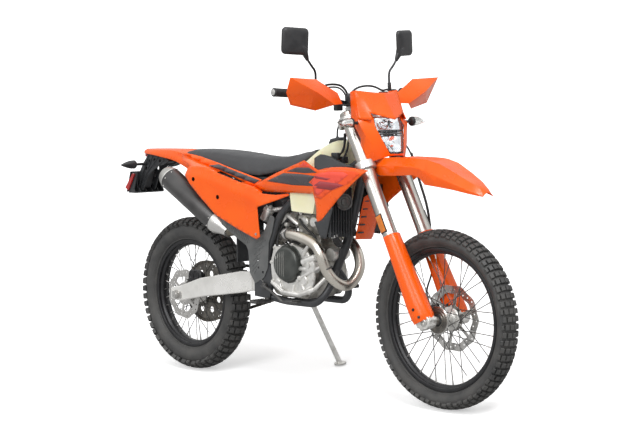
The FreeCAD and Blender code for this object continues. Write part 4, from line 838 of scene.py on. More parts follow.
# %% Chain
OUTPUT = Vector((655, 0, 430))
REAR_PITCH, FRONT_PITCH = 131.5, 35.7


def chain_walk(pitch):
    """Points one pitch apart round the loop over the sprocket and the output wheel."""
    span = OUTPUT - REAR_AXLE
    tilt = atan2(span.z, span.x)
    spread = acos((REAR_PITCH - FRONT_PITCH) / span.length)
    run = sqrt(span.length ** 2 - (REAR_PITCH - FRONT_PITCH) ** 2)
    front_arc = 2 * spread * FRONT_PITCH
    total = 2 * run + front_arc + 2 * (pi - spread) * REAR_PITCH
    count = round(total / pitch)
    high, low = tilt + spread, tilt - spread

    def front(angle):
        return OUTPUT + Vector((cos(angle), 0, sin(angle))) * FRONT_PITCH

    def rear(angle):
        return REAR_AXLE + Vector((cos(angle), 0, sin(angle))) * REAR_PITCH

    def at(distance):
        if distance < run:
            return rear(high).lerp(front(high), distance / run)
        distance -= run
        if distance < front_arc:
            return front(high - distance / FRONT_PITCH)
        distance -= front_arc
        if distance < run:
            return front(low).lerp(rear(low), distance / run)
        return rear(low - (distance - run) / REAR_PITCH)
    return [at(total * index / count) for index in range(count)]


LINK_PITCH, CHAIN_Y = 15.875, 67.5
chain = bmesh.new()
stops = chain_walk(LINK_PITCH)
for index, (here, there) in enumerate(zip(stops, stops[1:] + stops[:1])):
    reach = 5.2 if index % 2 else 6.9
    direction = (there - here).normalized()
    upward = Vector((-direction.z, 0, direction.x))
    link_axes = Matrix((direction, LEFT, upward)).transposed().to_4x4()
    for side in SIDES:
        middle = (here + there) / 2 + Vector(LEFT) * (CHAIN_Y + side * reach)
        add_box(chain, (-13.5, -0.8, -5.6), (13.5, 0.8, 5.6), place=Matrix.Translation(middle) @ link_axes)
    add_rod(chain, (here.x, 60.2, here.z), (here.x, 74.8, here.z), 4.0, sides=8)
plate_ends = [edge for edge in chain.edges if abs(edge.calc_length() - 1.6) < 0.01]
round_edges(chain, plate_ends, 4.2, 2)
keep(chain, "roller_chain", "chain_steel", "chassis", ["drive_chain"])
print("links", len(stops))

# %% [markdown]
# ## Facets
# Motorcycle plastics are flat facets with soft creases between them. A few named points
# and the facets between them give the form. One side is drawn and mirrored, a wall is
# added behind it, and a bevel rounds every crease.
# %% Faceted shells
def add_facets(mesh, points, facets):
    """Flat faces between named points."""
    verts = {label: mesh.verts.new(spot) for label, spot in points.items()}
    for facet in facets:
        mesh.faces.new([verts[label] for label in facet.split()])
    return list(verts.values())


def keep_shell(mesh, name, finish, body, stands_for=(), wall=3.0, edge=3.0, **more):
    """A thin faceted shell: the wall grows inwards and the creases are rounded."""
    return keep(mesh, name, finish, body, stands_for, wall=wall, edge=edge, sharp=40, **more)


FACING = Matrix.Rotation(pi / 2, 4, "Z")

# %% [markdown]
# ## Headlight mask
# The mask carries the lamp and a plain plate above it. The plate's lower edge is a V that
# overhangs the lens as a small visor. Below it a cheek runs down each side of the lens and
# flares out over the fork.
# %% Mask
def plate_front(y, z):
    """The plate stands out most along its middle, and more towards the visor's tip."""
    drop = (1210 - z) / 105
    aside = min(1.0, max(0.0, (abs(y) - 84) / 46))
    share = aside * aside * (3 - 2 * aside)
    return 1172 - 0.29 * abs(y) + drop * (66 * (1 - share) + 32 * share)


plate_outline = [(-117, 1217), (-40, 1208), (0, 1206), (40, 1208), (117, 1217), (131, 1105), (95, 1102),
                 (92, 1129), (0, 1102), (-92, 1129), (-95, 1102), (-131, 1105)]
plate = bmesh.new()
add_sheet(plate, plate_outline, lambda u, z: -plate_front(u, z), step=11, creases=[((0, 1100), (0, 1200))],
          corner=3)
keep(plate, "mask_plate", "orange_plastic", "steering", ["headlight_mask"], wall=3.5, place=FACING,
     sharp=50)
wings = bmesh.new()
add_facets(wings,
           {"top": (1137, -117, 1216), "low": (1165, -130, 1105), "rear_top": (1098, -108, 1212),
            "rear_low": (1122, -126, 1094)},
           ["top low rear_low rear_top"])
mirror_across(wings)
keep_shell(wings, "mask_wings", "orange_plastic", "steering", edge=1)

cheek_points = {"brow_high": (1162, -70, 1142), "outer_high": (1146, -127, 1142), "brow": (1190, -72, 1112),
                "lens_side": (1209, -83, 1078), "lens_foot": (1245, -40, 971), "chin": (1249, 0, 968),
                "outer_top": (1160, -130, 1106), "outer": (1174, -135, 1088), "waist": (1190, -116, 1040),
                "flare": (1170, -109, 984), "hem": (1188, -104, 936), "hem_front": (1238, -42, 960),
                "hem_mid": (1248, 0, 963), "knee": (1206, -98, 1010), "back_top": (1126, -124, 1096),
                "back_waist": (1158, -112, 1030), "back_flare": (1150, -106, 984),}
cheek_facets = [
    "brow_high brow outer_top outer_high", "brow lens_side outer outer_top", "lens_side waist outer",
    "lens_side lens_foot knee waist", "lens_foot hem_front hem knee", "knee hem flare", "waist knee flare",
    "lens_foot chin hem_mid hem_front", "outer_top outer back_top", "outer waist back_waist back_top",
    "waist flare back_flare back_waist"]
cheeks = bmesh.new()
add_facets(cheeks, cheek_points, cheek_facets)
mirror_across(cheeks)
keep_shell(cheeks, "mask_cheeks", "orange_plastic", "steering", ["headlight_mask"])

# %% [markdown]
# ## Headlamp
# Behind a clear lens lies a chrome bowl with a dark louvre across its middle. The lens is
# a curved sheet of glass. The bowl is a sheet laid over two shallow hollows.
# %% Glass, chrome and lamp colours
glass = bpy.data.materials.new("clear_glass")
glass.use_nodes = True
tree = glass.node_tree
tone = place_group(tree, patches, new_node(tree, "TexCoord", {}).outputs["Object"], 30)
spread = new_node(tree, "MapRange", {"Value": tone.outputs["Mask"], "To Min": 0.01, "To Max": 0.05})
fed(tree, tree.nodes["Principled BSDF"],
    {"Base Color": (0.95, 0.97, 0.98, 1), "Transmission Weight": 1.0, "IOR": 1.30,
     "Roughness": spread.outputs["Result"]})
FINISHES["clear_glass"] = glass
make_finishes([("lamp_chrome", "clear_lens", (0.92, 0.92, 0.93), (0.80, 0.80, 0.82), (0.04, 0.12), 1.0, 50,
                160, 0.25, {"depth": 0.002}),
               ("amber_lens", "clear_lens", (0.75, 0.22, 0.015), (0.60, 0.15, 0.010), (0.10, 0.22), 0.0, 60,
                420, 0.35, {"Coat Weight": 0.6}),
               ("red_lens", "clear_lens", (0.55, 0.015, 0.012), (0.38, 0.010, 0.010), (0.10, 0.22), 0.0, 60,
                420, 0.45, {"Coat Weight": 0.6})])


# %% Lens and bowl
def lens_front(y, z):
    """How far forward the lens stands: it leans with the mask and bulges a little."""
    return 1248 - (z - 970) * 0.30 - (y / 60) ** 2 * 8


lens_outline = [(-72, 1110), (-83, 1078), (-40, 970), (40, 970), (83, 1078), (72, 1110)]
lens = bmesh.new()
add_sheet(lens, lens_outline, lambda u, z: -lens_front(u, z), step=12, corner=5)
keep(lens, "headlamp_glass", "clear_glass", "steering", ["headlight_lens"], wall=2, place=FACING, sharp=60)


def bowl_depth(u, z):
    """Two hollows, one above and one below the louvre."""
    upper = 26 * exp(-((u / 44) ** 2 + ((z - 1082) / 22) ** 2))
    lower = 34 * exp(-((u / 34) ** 2 + ((z - 1010) / 32) ** 2))
    return -(lens_front(u, z) - 9 - upper - lower)


bowl = bmesh.new()
add_sheet(
    bowl, [(-76, 1114), (-86, 1078), (-43, 967), (43, 967), (86, 1078), (76, 1114)], bowl_depth, step=7)
keep(bowl, "headlamp_bowl", "lamp_chrome", "steering", wall=1.5, place=FACING, sharp=60)
louvre = bmesh.new()
for level_z, half, tall in ((1058, 62, 7), (1047, 58, 5), (1038, 52, 3)):
    front = lens_front(0, level_z) - 8
    add_box(louvre, (front - 20, -half, level_z - tall / 2), (front, half, level_z + tall / 2), 1.2)
for y in (-30, -10, 10, 30):
    front = lens_front(0, 1050) - 8
    add_box(louvre, (front - 20, y - 1.5, 1036), (front + 1, y + 1.5, 1062), 0.5)
keep(louvre, "headlamp_louvre", "housing_black", "steering")
bulbs = bmesh.new()
for y, z, radius in ((-26, 1084, 9), (26, 1084, 9), (0, 1006, 13)):
    front = lens_front(y, z) - 22
    add_turned(bulbs, [(0, radius), (3, radius), (6, radius * 0.8), (8.5, radius * 0.45), (9.5, 0)],
               (front, y, z), (1, 0, 0), steps=16)
keep(bulbs, "headlamp_bulbs", "lamp_chrome", "steering")
print("mask and lamp done")

# %% [markdown]
# ## Hand guards
# Each guard is a wing in front of the grip. A ridge runs from its outer top corner down to
# its inner foot. The facet above the ridge looks up and the facet below it looks down.
# %% Hand guards
guard_points = {"outer_top": (1088, 412, 1267), "inner_top": (1078, 268, 1261),
                "neck_top": (1084, 226, 1238), "neck": (1092, 168, 1208), "foot": (1102, 152, 1165),
                "ridge_foot": (1116, 206, 1162), "keel": (1070, 268, 1140), "outer_low": (1052, 381, 1163),
                "outer": (1058, 406, 1210), "ridge_mid": (1120, 300, 1209),}
guard_facets = ["outer_top inner_top ridge_mid", "inner_top neck_top ridge_foot ridge_mid",
                "neck_top neck foot ridge_foot", "outer_top ridge_mid keel outer_low outer",
                "ridge_mid ridge_foot keel"]
guards = bmesh.new()
add_facets(guards, guard_points, guard_facets)
mirror_across(guards)
keep_shell(guards, "wing_guards", "orange_plastic", "steering", ["hand_guards"], edge=4.0)
arms = bmesh.new()
add_rod(arms, (1094, 186, 1188), (1052, 168, 1192), 6.5, 8, sides=12, edge=1)
add_rod(arms, (1054, 169, 1192), (1022, 160, 1192), 8, sides=12, edge=1)
add_box(arms, (1002, 148, 1184), (1036, 172, 1212), 4)
keep(arms, "guard_arms", "dark_plastic", "steering", both=True)
print("guards done")

# %% [markdown]
# ## Front fender
# The fender is long and stiff: a raised middle, a crease each side and a lip that turns
# down. Half of each cross section is given and mirrored, and the sections are bridged.
# %% Front fender
fender_stations = [
    # x, lip half, lip z, side half, side z, crease half, crease z, middle z
    (1176, 60, 900, 62, 928, 48, 951, 944), (1214, 64, 886, 68, 924, 53, 955, 946),
    (1300, 72, 888, 76, 926, 58, 959, 948), (1392, 76, 893, 80, 924, 60, 957, 947),
    (1432, 77, 884, 81, 920, 60, 955, 945), (1458, 76, 858, 81, 910, 59, 952, 942),
    (1514, 73, 852, 77, 892, 54, 938, 931), (1588, 64, 842, 67, 866, 45, 903, 900),
    (1650, 50, 829, 52, 843, 34, 871, 871), (1690, 36, 821, 37, 828, 22, 845, 851),
    (1707, 27, 818, 28, 820, 17, 829, 834),
]


def fender_ring(station):
    x, lip, lip_z, side_half, side_z, crease, crease_z, mid_z = station
    half = [
        (x, -lip, lip_z), (x, -side_half, side_z), (x, -crease, crease_z), (x, -crease * 0.45, mid_z - 1)]
    return half + [(x, 0, mid_z)] + [(px, -py, pz) for px, py, pz in reversed(half)]


def add_open_loft(mesh, lines):
    """Join open cross sections, each a list of points, into a sheet."""
    rows = []
    for line in lines:
        verts = [mesh.verts.new(point) for point in line]
        rows.append([mesh.edges.new(pair) for pair in zip(verts, verts[1:])])
    for near, far in zip(rows, rows[1:]):
        bmesh.ops.bridge_loops(mesh, edges=near + far)


fender = bmesh.new()
add_open_loft(fender, [fender_ring(station) for station in fender_stations])
keep(fender, "long_fender", "orange_plastic", "steering", ["front_fender"], wall=3, edge=1.2, sharp=24)
stay = bmesh.new()
add_box(stay, (-20, -60, 632), (84, 60, 643), 3, place=STEERED)
for side in SIDES:
    for forward in (6, 66):
        add_bolt(stay, STEERED @ Vector((forward, side * 44, 632)), -UPWARD, 5, 5)
keep(stay, "fender_stay", "dark_plastic", "steering")
print("fender done")

# %% [markdown]
# ## Fork
# An upside-down fork: a thick satin tube is held by the clamps, and a thin polished tube
# slides in it from below. Cast lugs carry the axle, and a plastic guard wraps the front.
# %% Fork legs
FORK_Y, FORK_AHEAD = 96, 22
LEG_FOOT = (FORK_AHEAD, FORK_Y, 0)
AXLE_FOOT = (AXLE_AHEAD, 0, 0)
legs, seals, sliders = bmesh.new(), bmesh.new(), bmesh.new()
add_turned(legs,
           [(357, 26), (357, 29), (361, 29.5), (380, 29.5), (384, 28.6), (560, 28.6), (566, 29), (888, 29),
            (891, 27), (891, 22), (357, 22), (357, 26)], LEG_FOOT, UP, steps=40)
add_turned(
    seals, [(344, 25), (344, 27.6), (347, 28.8), (357, 28.8), (358, 25), (344, 25)], LEG_FOOT, UP, steps=36)
add_turned(seals, [(889, 0), (889, 21.6), (893, 21.6), (895, 19), (895, 8), (899, 7), (899, 0)], LEG_FOOT,
           UP, steps=24)
add_turned(sliders, [(20, 0), (20, 23.6), (346, 23.6), (346, 0)], LEG_FOOT, UP, steps=32)
keep(legs, "fork_tubes", "fork_alloy", "steering", ["fork_legs"], place=STEERED, both=True)
keep(seals, "fork_seals", "black_metal", "steering", place=STEERED, both=True)
keep(sliders, "fork_sliders", "steel", "steering", place=STEERED, both=True)

# %% Lugs and axle
lugs = bmesh.new()
add_turned(
    lugs, [(-8, 0), (-8, 20), (-4, 24), (30, 27), (44, 27), (46, 24.2), (46, 0)], LEG_FOOT, UP, steps=28)
add_box(lugs, (14, FORK_Y - 21, -24), (72, FORK_Y + 21, 22), 7, segments=3)
add_turned(lugs, [(-22, 14), (-22, 25), (-19, 27), (19, 27), (22, 25), (22, 14), (-22, 14)],
           (AXLE_AHEAD, FORK_Y, 0), steps=32)
add_box(lugs, (56, FORK_Y - 20, -7), (84, FORK_Y + 20, 7), 3)
for reach in (-10, 10):
    add_bolt(lugs, (74, FORK_Y + reach, 7), UP, 4.2, 5)
keep(lugs, "axle_lugs", "rough_alloy", "steering", place=STEERED, sharp=40, both=True)
axle = bmesh.new()
add_turned(axle,
           [(-126, 8), (-126, 13), (-124, 15), (-119, 15), (-119, 11.9), (119, 11.9), (119, 15), (124, 15),
            (126, 13), (126, 8), (-126, 8)], AXLE_FOOT, steps=24)
for low, high in ((-73, -45), (48, 73)):
    add_turned(axle, [(low, 12), (low, 17), (high, 17), (high, 12), (low, 12)], AXLE_FOOT, steps=28)
keep(axle, "front_spindle", "steel", "steering", ["front_axle"], place=STEERED)

# %% [markdown]
# The guards are lofts of open arcs round the front of each slider. They flare towards the
# foot, where they cover the lug, and end in a blunt point.
# %% Fork guards and reflector
def guard_arc(up, radius_out, radius_front, shift):
    """An open arc round the front of a leg, a little squarer than a circle."""
    points = []
    for step in range(11):
        angle = radians(-112 + 22.4 * step)
        square = 1 + 0.06 * sin(2 * angle) ** 2
        points.append((FORK_AHEAD + shift + radius_front * cos(angle) * square,
                       FORK_Y + radius_out * sin(angle) * square, up))
    return points


fork_guards = bmesh.new()
guard_levels = [(6, 36, 48, 8), (30, 41, 50, 7), (80, 42, 47, 5), (150, 40, 42, 4), (250, 37, 38, 3),
                (330, 35, 35, 2), (366, 34, 34, 1)]
add_open_loft(fork_guards, [guard_arc(*level) for level in guard_levels])
keep(fork_guards, "slider_guards", "orange_plastic", "steering", ["fork_guards"], wall=3, edge=1.5,
     place=STEERED, sharp=40, both=True)
guard_bolts = bmesh.new()
for up, angle in ((24, -62), (24, 62), (58, -78), (58, 78)):
    way = Vector((cos(radians(angle)), sin(radians(angle)), 0))
    add_bolt(guard_bolts, Vector((30, FORK_Y, up)) + way * 42, way, 4.5, 4)
keep(guard_bolts, "guard_bolts", "black_metal", "steering", place=STEERED, both=True)
reflector, backing = bmesh.new(), bmesh.new()
add_box(reflector, (9, 125, 384), (35, 129, 452), 1.5)
keep(reflector, "fork_reflectors", "amber_lens", "steering", place=STEERED, both=True)
add_box(backing, (6, 122, 380), (38, 125.5, 456), 1)
keep(backing, "reflector_backing", "dark_plastic", "steering", place=STEERED, both=True)

# %% [markdown]
# ## Fork clamps
# Two machined bridges hold the fork tubes and the stem. Rings grip the tubes, slots close
# with pinch bolts, and the upper one carries the bar's block.
# %% Clamps
CLAMP_LEVELS = (660, 855)
clamps = bmesh.new()
for up in CLAMP_LEVELS:
    add_turned(clamps,
               [(up - 17, 29.2), (up - 17, 38), (up - 14, 41), (up + 14, 41), (up + 17, 38),
                (up + 17, 29.2), (up - 17, 29.2)], LEG_FOOT, UP, steps=40)
    add_box(clamps, (-34, FORK_Y - 11, up - 13), (-8, FORK_Y + 11, up + 13), 3)
    for height in (-7, 7):
        add_bolt(clamps, (-22, FORK_Y - 11, up + height), RIGHT, 4.2, 4)
add_box(clamps, (-8, 35, 868), (36, 65, 902), 4)
add_box(clamps, (-10, 36, 903), (38, 64, 929), 7, segments=3)
for forward in (-4, 32):
    add_bolt(clamps, (forward, 50, 928), UP, 4.5, 5)
mirror_across(clamps)
for up in CLAMP_LEVELS:
    add_box(clamps, (-22, -84, up - 15), (42, 84, up + 15), 6, segments=3)
    add_rod(clamps, (0, 0, up - 17), (0, 0, up + 17), 30, sides=36, edge=2.5)
add_rod(clamps, (0, 0, 676), (0, 0, 842), 15.8, sides=24)
add_rod(clamps, (0, 0, 870), (0, 0, 884), 17, sides=6, edge=1.5)
keep(clamps, "fork_bridges", "bright_alloy", "steering", ["fork_clamps"], place=STEERED, sharp=40)

# %% [markdown]
# ## Bars, grips and controls
# The bar is a bent tapered tube. The grips are soft rubber with moulded ribs and a flange.
# Each side carries a lever on its perch; the right one has the brake's fluid reservoir.
# %% Bar and grips
bar_points = [(985, -408, 1213), (1012, -190, 1200), (1040, -70, 1160), (1040, 70, 1160), (1012, 190, 1200),
              (985, 408, 1213)]
bent_tube("bent_bar", bar_points, 11, "black_metal", "steering", ["handlebar"], sides=7)
bar_end = Vector((985, 408, 1213))
bar_way = (Vector((1012, 190, 1200)) - bar_end).normalized()
grip_outline = [(1, 0), (1, 15), (3, 17), (10, 17), (12, 15.4)]
for rib in range(17):
    start = 14 + rib * 5.4
    grip_outline += [(start, 15.4), (start + 0.8, 16.6), (start + 3.2, 16.6), (start + 4.0, 15.4)]
grip_outline += [(110, 15.4), (112, 17), (117, 17), (119, 21), (122, 21), (124, 17), (124, 11.4)]
grips, plugs = bmesh.new(), bmesh.new()
add_turned(grips, grip_outline, bar_end, bar_way, steps=24)
add_turned(plugs, [(-1.5, 0), (-1.5, 9), (0, 12), (3, 12), (3, 0)], bar_end, bar_way, steps=20)
keep(grips, "ribbed_grips", "black_rubber", "steering", ["grips"], both=True)
keep(plugs, "bar_plugs", "bright_alloy", "steering", both=True)

# %% Levers, perches and reservoir
controls = bmesh.new()
add_turned(controls, [(167, 11.2), (167, 18), (170, 19), (184, 19), (187, 18), (187, 11.2), (167, 11.2)],
           bar_end, bar_way, steps=24)
add_box(controls, (1012, 212, 1188), (1056, 240, 1210), 5, segments=3)
add_bolt(controls, (1046, 238, 1210), UP, 6, 5)
for start, stop, first, last in (
        ((1040, 236, 1200), (1064, 262, 1200), 7.5, 6.5), ((1064, 262, 1200), (1061, 330, 1202), 6.5, 5.2),
        ((1061, 330, 1202), (1055, 384, 1204), 5.2, 5.0), ((1055, 380, 1204), (1054, 391, 1204), 6.8, 6.8)):
    add_rod(controls, start, stop, first, last, sides=12, edge=0.8)
mirror_across(controls)
for y in (274, -318):
    add_box(controls, (996, y, 1190), (1028, y + 26, 1222), 5)
keep(controls, "levers", "black_metal", "steering", ["bar_controls"], sharp=40)
reservoir = bmesh.new()
add_box(reservoir, (1018, -258, 1196), (1052, -216, 1214), 5, segments=3)
add_box(reservoir, (1015, -261, 1213), (1055, -213, 1219), 2)
for y in (-254, -220):
    add_bolt(reservoir, (1035, y, 1219), UP, 3, 2.5)
add_box(reservoir, (1022, -126, 1138), (1044, -92, 1166), 4)
keep(reservoir, "brake_reservoir", "housing_black", "steering")
display = bmesh.new()
add_box(display, (1056, -92, 1164), (1084, 52, 1200), 8, segments=3)
add_box(display, (1034, -78, 1172), (1058, 70, 1206), 9, segments=3)
keep(display, "instrument_case", "housing_black", "steering")
for name, line, radius in (
        ("clutch_hose",
         [(1020, 190, 1214), (1040, 160, 1222), (1050, 124, 1213), (1052, 86, 1229), (1052, 41, 1236),
          (1050, -15, 1230), (1050, -49, 1212), (1046, -70, 1188)], 4.2),
        ("throttle_cable",
         [(1016, -200, 1214), (1024, -178, 1236), (1030, -150, 1242), (1030, -102, 1240), (1031, -78, 1230),
          (1034, -60, 1208), (1036, -50, 1180)], 4.4),
        ("return_cable",
         [(1012, -200, 1208), (1018, -172, 1226), (1024, -140, 1231), (1026, -104, 1230), (1028, -82, 1220),
          (1032, -66, 1200), (1034, -58, 1176)], 3.4)):
    bent_tube(name, line, radius, "black_rubber", "steering")
print("bars done")


# %% [markdown]
# ## Mirrors
# Two square mirrors with rounded corners stand on thin bent stems. The housing is domed
# towards the front; the glass faces the rider. A clamp neck joins them at the lower corner.
# %% Mirrors
def square_ring(half_y, half_z, corner, x):
    """A rounded square in Y and Z at one x."""
    points = []
    for quarter, (across, up) in enumerate(((1, 1), (-1, 1), (-1, -1), (1, -1))):
        for step in range(5):
            angle = pi / 2 * (quarter + step / 4)
            points.append((x, across * (half_y - corner) + corner * cos(angle),
                           up * (half_z - corner) + corner * sin(angle)))
    return points


def placed_loft(mesh, sections, place):
    rings = [square_ring(*section) for section in sections]
    bmesh.ops.transform(mesh, matrix=place, verts=add_loft(mesh, rings))


turn = Matrix.Rotation(radians(14), 4, "Z") @ Matrix.Rotation(radians(3), 4, "X")
MIRROR_PLACE = Matrix.Translation((1004, 305, 1408)) @ turn
heads, faces_seen = bmesh.new(), bmesh.new()
placed_loft(heads,
            [(54, 49, 15, -10), (57, 52, 17, -9), (57.5, 52.5, 17, -5), (57, 52, 17, 0), (53, 48, 16, 5),
             (44, 39, 14, 8.5), (28, 24, 12, 10.5), (12, 10, 8, 11)], MIRROR_PLACE)
placed_loft(faces_seen, [(53, 48, 15, -9.5), (52.5, 47.5, 15, -10.6), (52, 47, 15, -10.8)], MIRROR_PLACE)
add_rod(heads, (1008, 246, 1334), (1010, 270, 1378), 6, 17, sides=8, edge=2)
add_rod(heads, (1010, 270, 1378), (1012, 282, 1392), 17, 9, sides=8, edge=2)
add_rod(heads, (1008, 208, 1212), (1008, 206, 1248), 8.5, 7.5, sides=14, edge=1.5)
keep(heads, "mirror_housings", "housing_black", "steering", ["mirrors"], sharp=40, both=True)
keep(faces_seen, "mirror_faces", "mirror_face", "steering", both=True)
stem = [(1008, 207, 1226), (1008, 204, 1262), (1008, 206, 1294), (1009, 226, 1312), (1008, 247, 1337),
        (1008, 256, 1352)]
for side, side_name in SIDE_NAMES:
    bent_tube("mirror_stem_" + side_name, [(x, side * y, z) for x, y, z in stem], 4.6, "black_metal",
              "steering", sides=4)

# %% [markdown]
# ## Indicators
# A bullet on a short rubber stalk: a black foot, a clear shell that narrows to a rounded
# tip, and an amber heart inside it.
# %% Front indicators
ogive = [(0, 18.5), (10, 18.8), (24, 17.6), (40, 14.6), (56, 10.6), (70, 6.6), (80, 3.2), (84, 0)]


def indicator(body, name, foot, way, reach, length, shell, core):
    """A stalk, a base, a shell and a core on both sides of the machine."""
    stalks, shells, cores = bmesh.new(), bmesh.new(), bmesh.new()
    run = Vector(way).normalized()
    base = Vector(foot) + run * reach
    scale = (length - 10) / 84
    add_rod(stalks, foot, base, 7, 5.5, sides=14, edge=0.8)
    add_turned(stalks, [(-4, 0), (-4, 9), (0, 16), (4, 19), (10, 19.2), (10, 0)], base, run, steps=28)
    add_turned(shells, [(10 + t * scale, r) for t, r in ogive], base, run, steps=28)
    add_turned(
        cores, [(12, 0), (12, 15), (16 + 22 * scale, 12), (14 + 46 * scale, 5), (16 + 52 * scale, 0)], base,
        run, steps=20)
    keep(stalks, name + "_stalks", "black_rubber", body, [name], sharp=40, both=True)
    keep(shells, name + "_shells", shell, body, sharp=50, both=True)
    keep(cores, name + "_cores", core, body, sharp=50, both=True)


LAMP_FOOT, LAMP_WAY = (1158, 104, 1090), (0.1, 1, 0.03)
indicator("steering", "front_indicators", LAMP_FOOT, LAMP_WAY, 60, 88, "clear_glass", "steel")
run = Vector(LAMP_WAY).normalized()
hearts = bmesh.new()
add_turned(hearts, [(0, 0), (0, 7), (10, 7), (20, 4), (24, 0)],
           Vector(LAMP_FOOT) + run * 74 + Vector((6, 0, 2)), run, steps=16)
keep(hearts, "indicator_bulbs", "amber_lens", "steering", both=True)
print("front end done")

# %% [markdown]
# ## Shrouds
# A thin wing stands beside the tank on each side and guides air to the radiator. It is cut
# to its outline, divided, and laid on a slanting plane. A soft fold tucks its lower band in
# and another its upper edge. The graphics are thin films with plain parallelograms.
# %% Graphic films
make_finishes([("film_grey", "dark_plastic", (0.062, 0.054, 0.060), (0.075, 0.066, 0.072), (0.24, 0.36),
                0.0, 12, 1400, 0.04, {}),
               ("film_rose", "orange_plastic", (0.96, 0.104, 0.024), (0.92, 0.092, 0.018), (0.26, 0.38),
                0.0, 8, 1400, 0.04, {"Specular IOR Level": 0.32}),
               ("film_pink", "orange_plastic", (0.93, 0.100, 0.062), (0.89, 0.088, 0.050), (0.26, 0.38),
                0.0, 8, 1400, 0.04, {"Specular IOR Level": 0.32}),
               ("film_red", "orange_plastic", (0.36, 0.034, 0.042), (0.32, 0.030, 0.036), (0.26, 0.38), 0.0,
                8, 1400, 0.04, {})])


# %% Side sheets
def step_up(value, low, high):
    """0 below low, 1 above high, and smooth between them."""
    share = min(1.0, max(0.0, (value - low) / (high - low)))
    return share * share * (3 - 2 * share)


def level_at(points, x):
    """The height of a broken line at x."""
    for (x0, z0), (x1, z1) in zip(points, points[1:]):
        if x <= x1:
            return z0 + (z1 - z0) * max(0.0, (x - x0) / (x1 - x0))
    return points[-1][1]


def side_sheet(mesh, side, outline, depth, step=16.0, creases=(), corner=0.0):
    """Lay a sheet on one side of the machine with its faces looking outwards."""
    verts = add_sheet(mesh, outline, lambda x, z: side * depth(x, z), step, creases, corner)
    faces = faces_of(verts)
    for face in faces:
        face.normal_update()
    if sum(face.normal.y * face.calc_area() for face in faces) * side < 0:
        bmesh.ops.reverse_faces(mesh, faces=faces)


shroud_outline = [(545, 832), (700, 888), (876, 943), (960, 906), (995, 913), (1040, 919), (1094, 921),
                  (1150, 920), (1252, 912), (1185, 868), (1120, 825), (1063, 783), (1022, 748), (979, 711),
                  (934, 693), (926, 810), (775, 810), (606, 808)]
shroud_top = [(545, 832), (700, 888), (876, 943), (960, 906), (1040, 919), (1150, 920), (1252, 912)]


def shroud_out(x, z):
    swell = 5 * (1 - min(1.0, abs(z - 868) / 90) ** 2)
    tuck = 0.45 * max(0.0, 836 - z) * (1 - step_up(x, 900, 950))
    fold = 0.7 * max(0.0, z - level_at(shroud_top, x) + 13) * step_up(x, 930, 990)
    return 85 + 0.0717 * x + swell - tuck - fold


band_fold = [((545, 836), (900, 836))]
films = {
    "film_grey": [[(766, 896), (833, 914), (908, 915), (958, 896), (884, 892)],
                  [(636, 853), (748, 889), (860, 888), (950, 882), (908, 856), (946, 842), (804, 842)]],
    "film_rose": [[(951, 890), (1000, 903), (1073, 912), (1196, 905), (1216, 897), (1145, 856),
                   (1044, 826), (977, 792), (937, 800), (934, 838), (915, 856)]],
    "film_pink": [[(842, 917), (878, 937), (936, 911), (956, 901), (912, 918)],
                  [(953, 888), (1030, 902), (1120, 902), (1150, 893), (1088, 858), (1004, 828), (962, 806),
                   (941, 812), (938, 838), (922, 856)]],}
for side, side_name in SIDE_NAMES:
    shroud = bmesh.new()
    side_sheet(shroud, side, shroud_outline, shroud_out, creases=band_fold, corner=2)
    keep(shroud, "wing_" + side_name, "orange_plastic", "chassis", ["shroud_" + side_name], wall=3.5,
         flip=False, sharp=50)
    for finish, outlines in films.items():
        film = bmesh.new()
        for outline in outlines:
            lift = 1.1 if finish == "film_pink" else 0.6
            side_sheet(film, side, outline, lambda x, z: shroud_out(x, z) + lift, corner=1.5)
        keep(film, "%s_%s" % (finish, side_name), finish, "chassis", wall=0.5, flip=False, sharp=50)
ARROWS = ([(940, 845), (978, 863), (1086, 857), (1120, 851), (1046, 830), (950, 835), (962, 842)],
          [(948, 883), (1044, 875), (1018, 868), (946, 874)])
arrows, lower_pieces = bmesh.new(), bmesh.new()
for side in SIDES:
    for outline in ARROWS:
        side_sheet(arrows, side, outline, lambda x, z: shroud_out(x, z) + 1.6, corner=1)
    side_sheet(lower_pieces, side,
               [(932, 700), (980, 714), (1040, 766), (1044, 752), (1030, 722), (1000, 636), (966, 638)],
               lambda x, z: 84 + 0.0717 * x - 0.05 * max(0, 700 - z), corner=2)
keep(arrows, "film_arrows", "film_red", "chassis", wall=0.4, flip=False, sharp=50)
keep(lower_pieces, "lower_spoilers", "dark_plastic", "chassis", wall=3, flip=False, sharp=50)

# %% [markdown]
# Above each shroud a matt dark panel closes the gap to the tank. In front, a louvred guard
# covers each radiator: orange on the left, black with upright fins on the right, where a
# round horn hangs before it.
# %% Dark upper panels and radiator guards
SHOULDER = {"a": (916, 129, 952), "b": (943, 124, 967), "c": (967, 124, 966), "d": (1040, 132, 945),
            "ai": (912, 86, 944), "bi": (940, 84, 958), "ci": (970, 82, 956), "di": (1036, 98, 938)}
uppers = bmesh.new()
for side in SIDES:
    point = [(1120, 928), (1152, 922), (1095, 919)] if side < 0 else [(1058, 940), (1058, 914)]
    outline = [
        (916, 952), (943, 967), (967, 966), (1040, 945)] + point + [(1000, 907), (941, 900), (926, 926)]
    side_sheet(uppers, side, outline, lambda x, z: 124 + (967 - z) * 0.42, step=12, corner=3)
    # The corners run the other way round on the left, so that the facets face outwards there too
    add_facets(uppers, {label: (x, side * y, z) for label, (x, y, z) in SHOULDER.items()},
               [" ".join(facet.split()[::-side]) for facet in ("a b bi ai", "b c ci bi", "c d di ci")])
keep(uppers, "upper_panels", "dark_plastic", "chassis", wall=2.5, flip=False, sharp=50)
guard = bmesh.new()
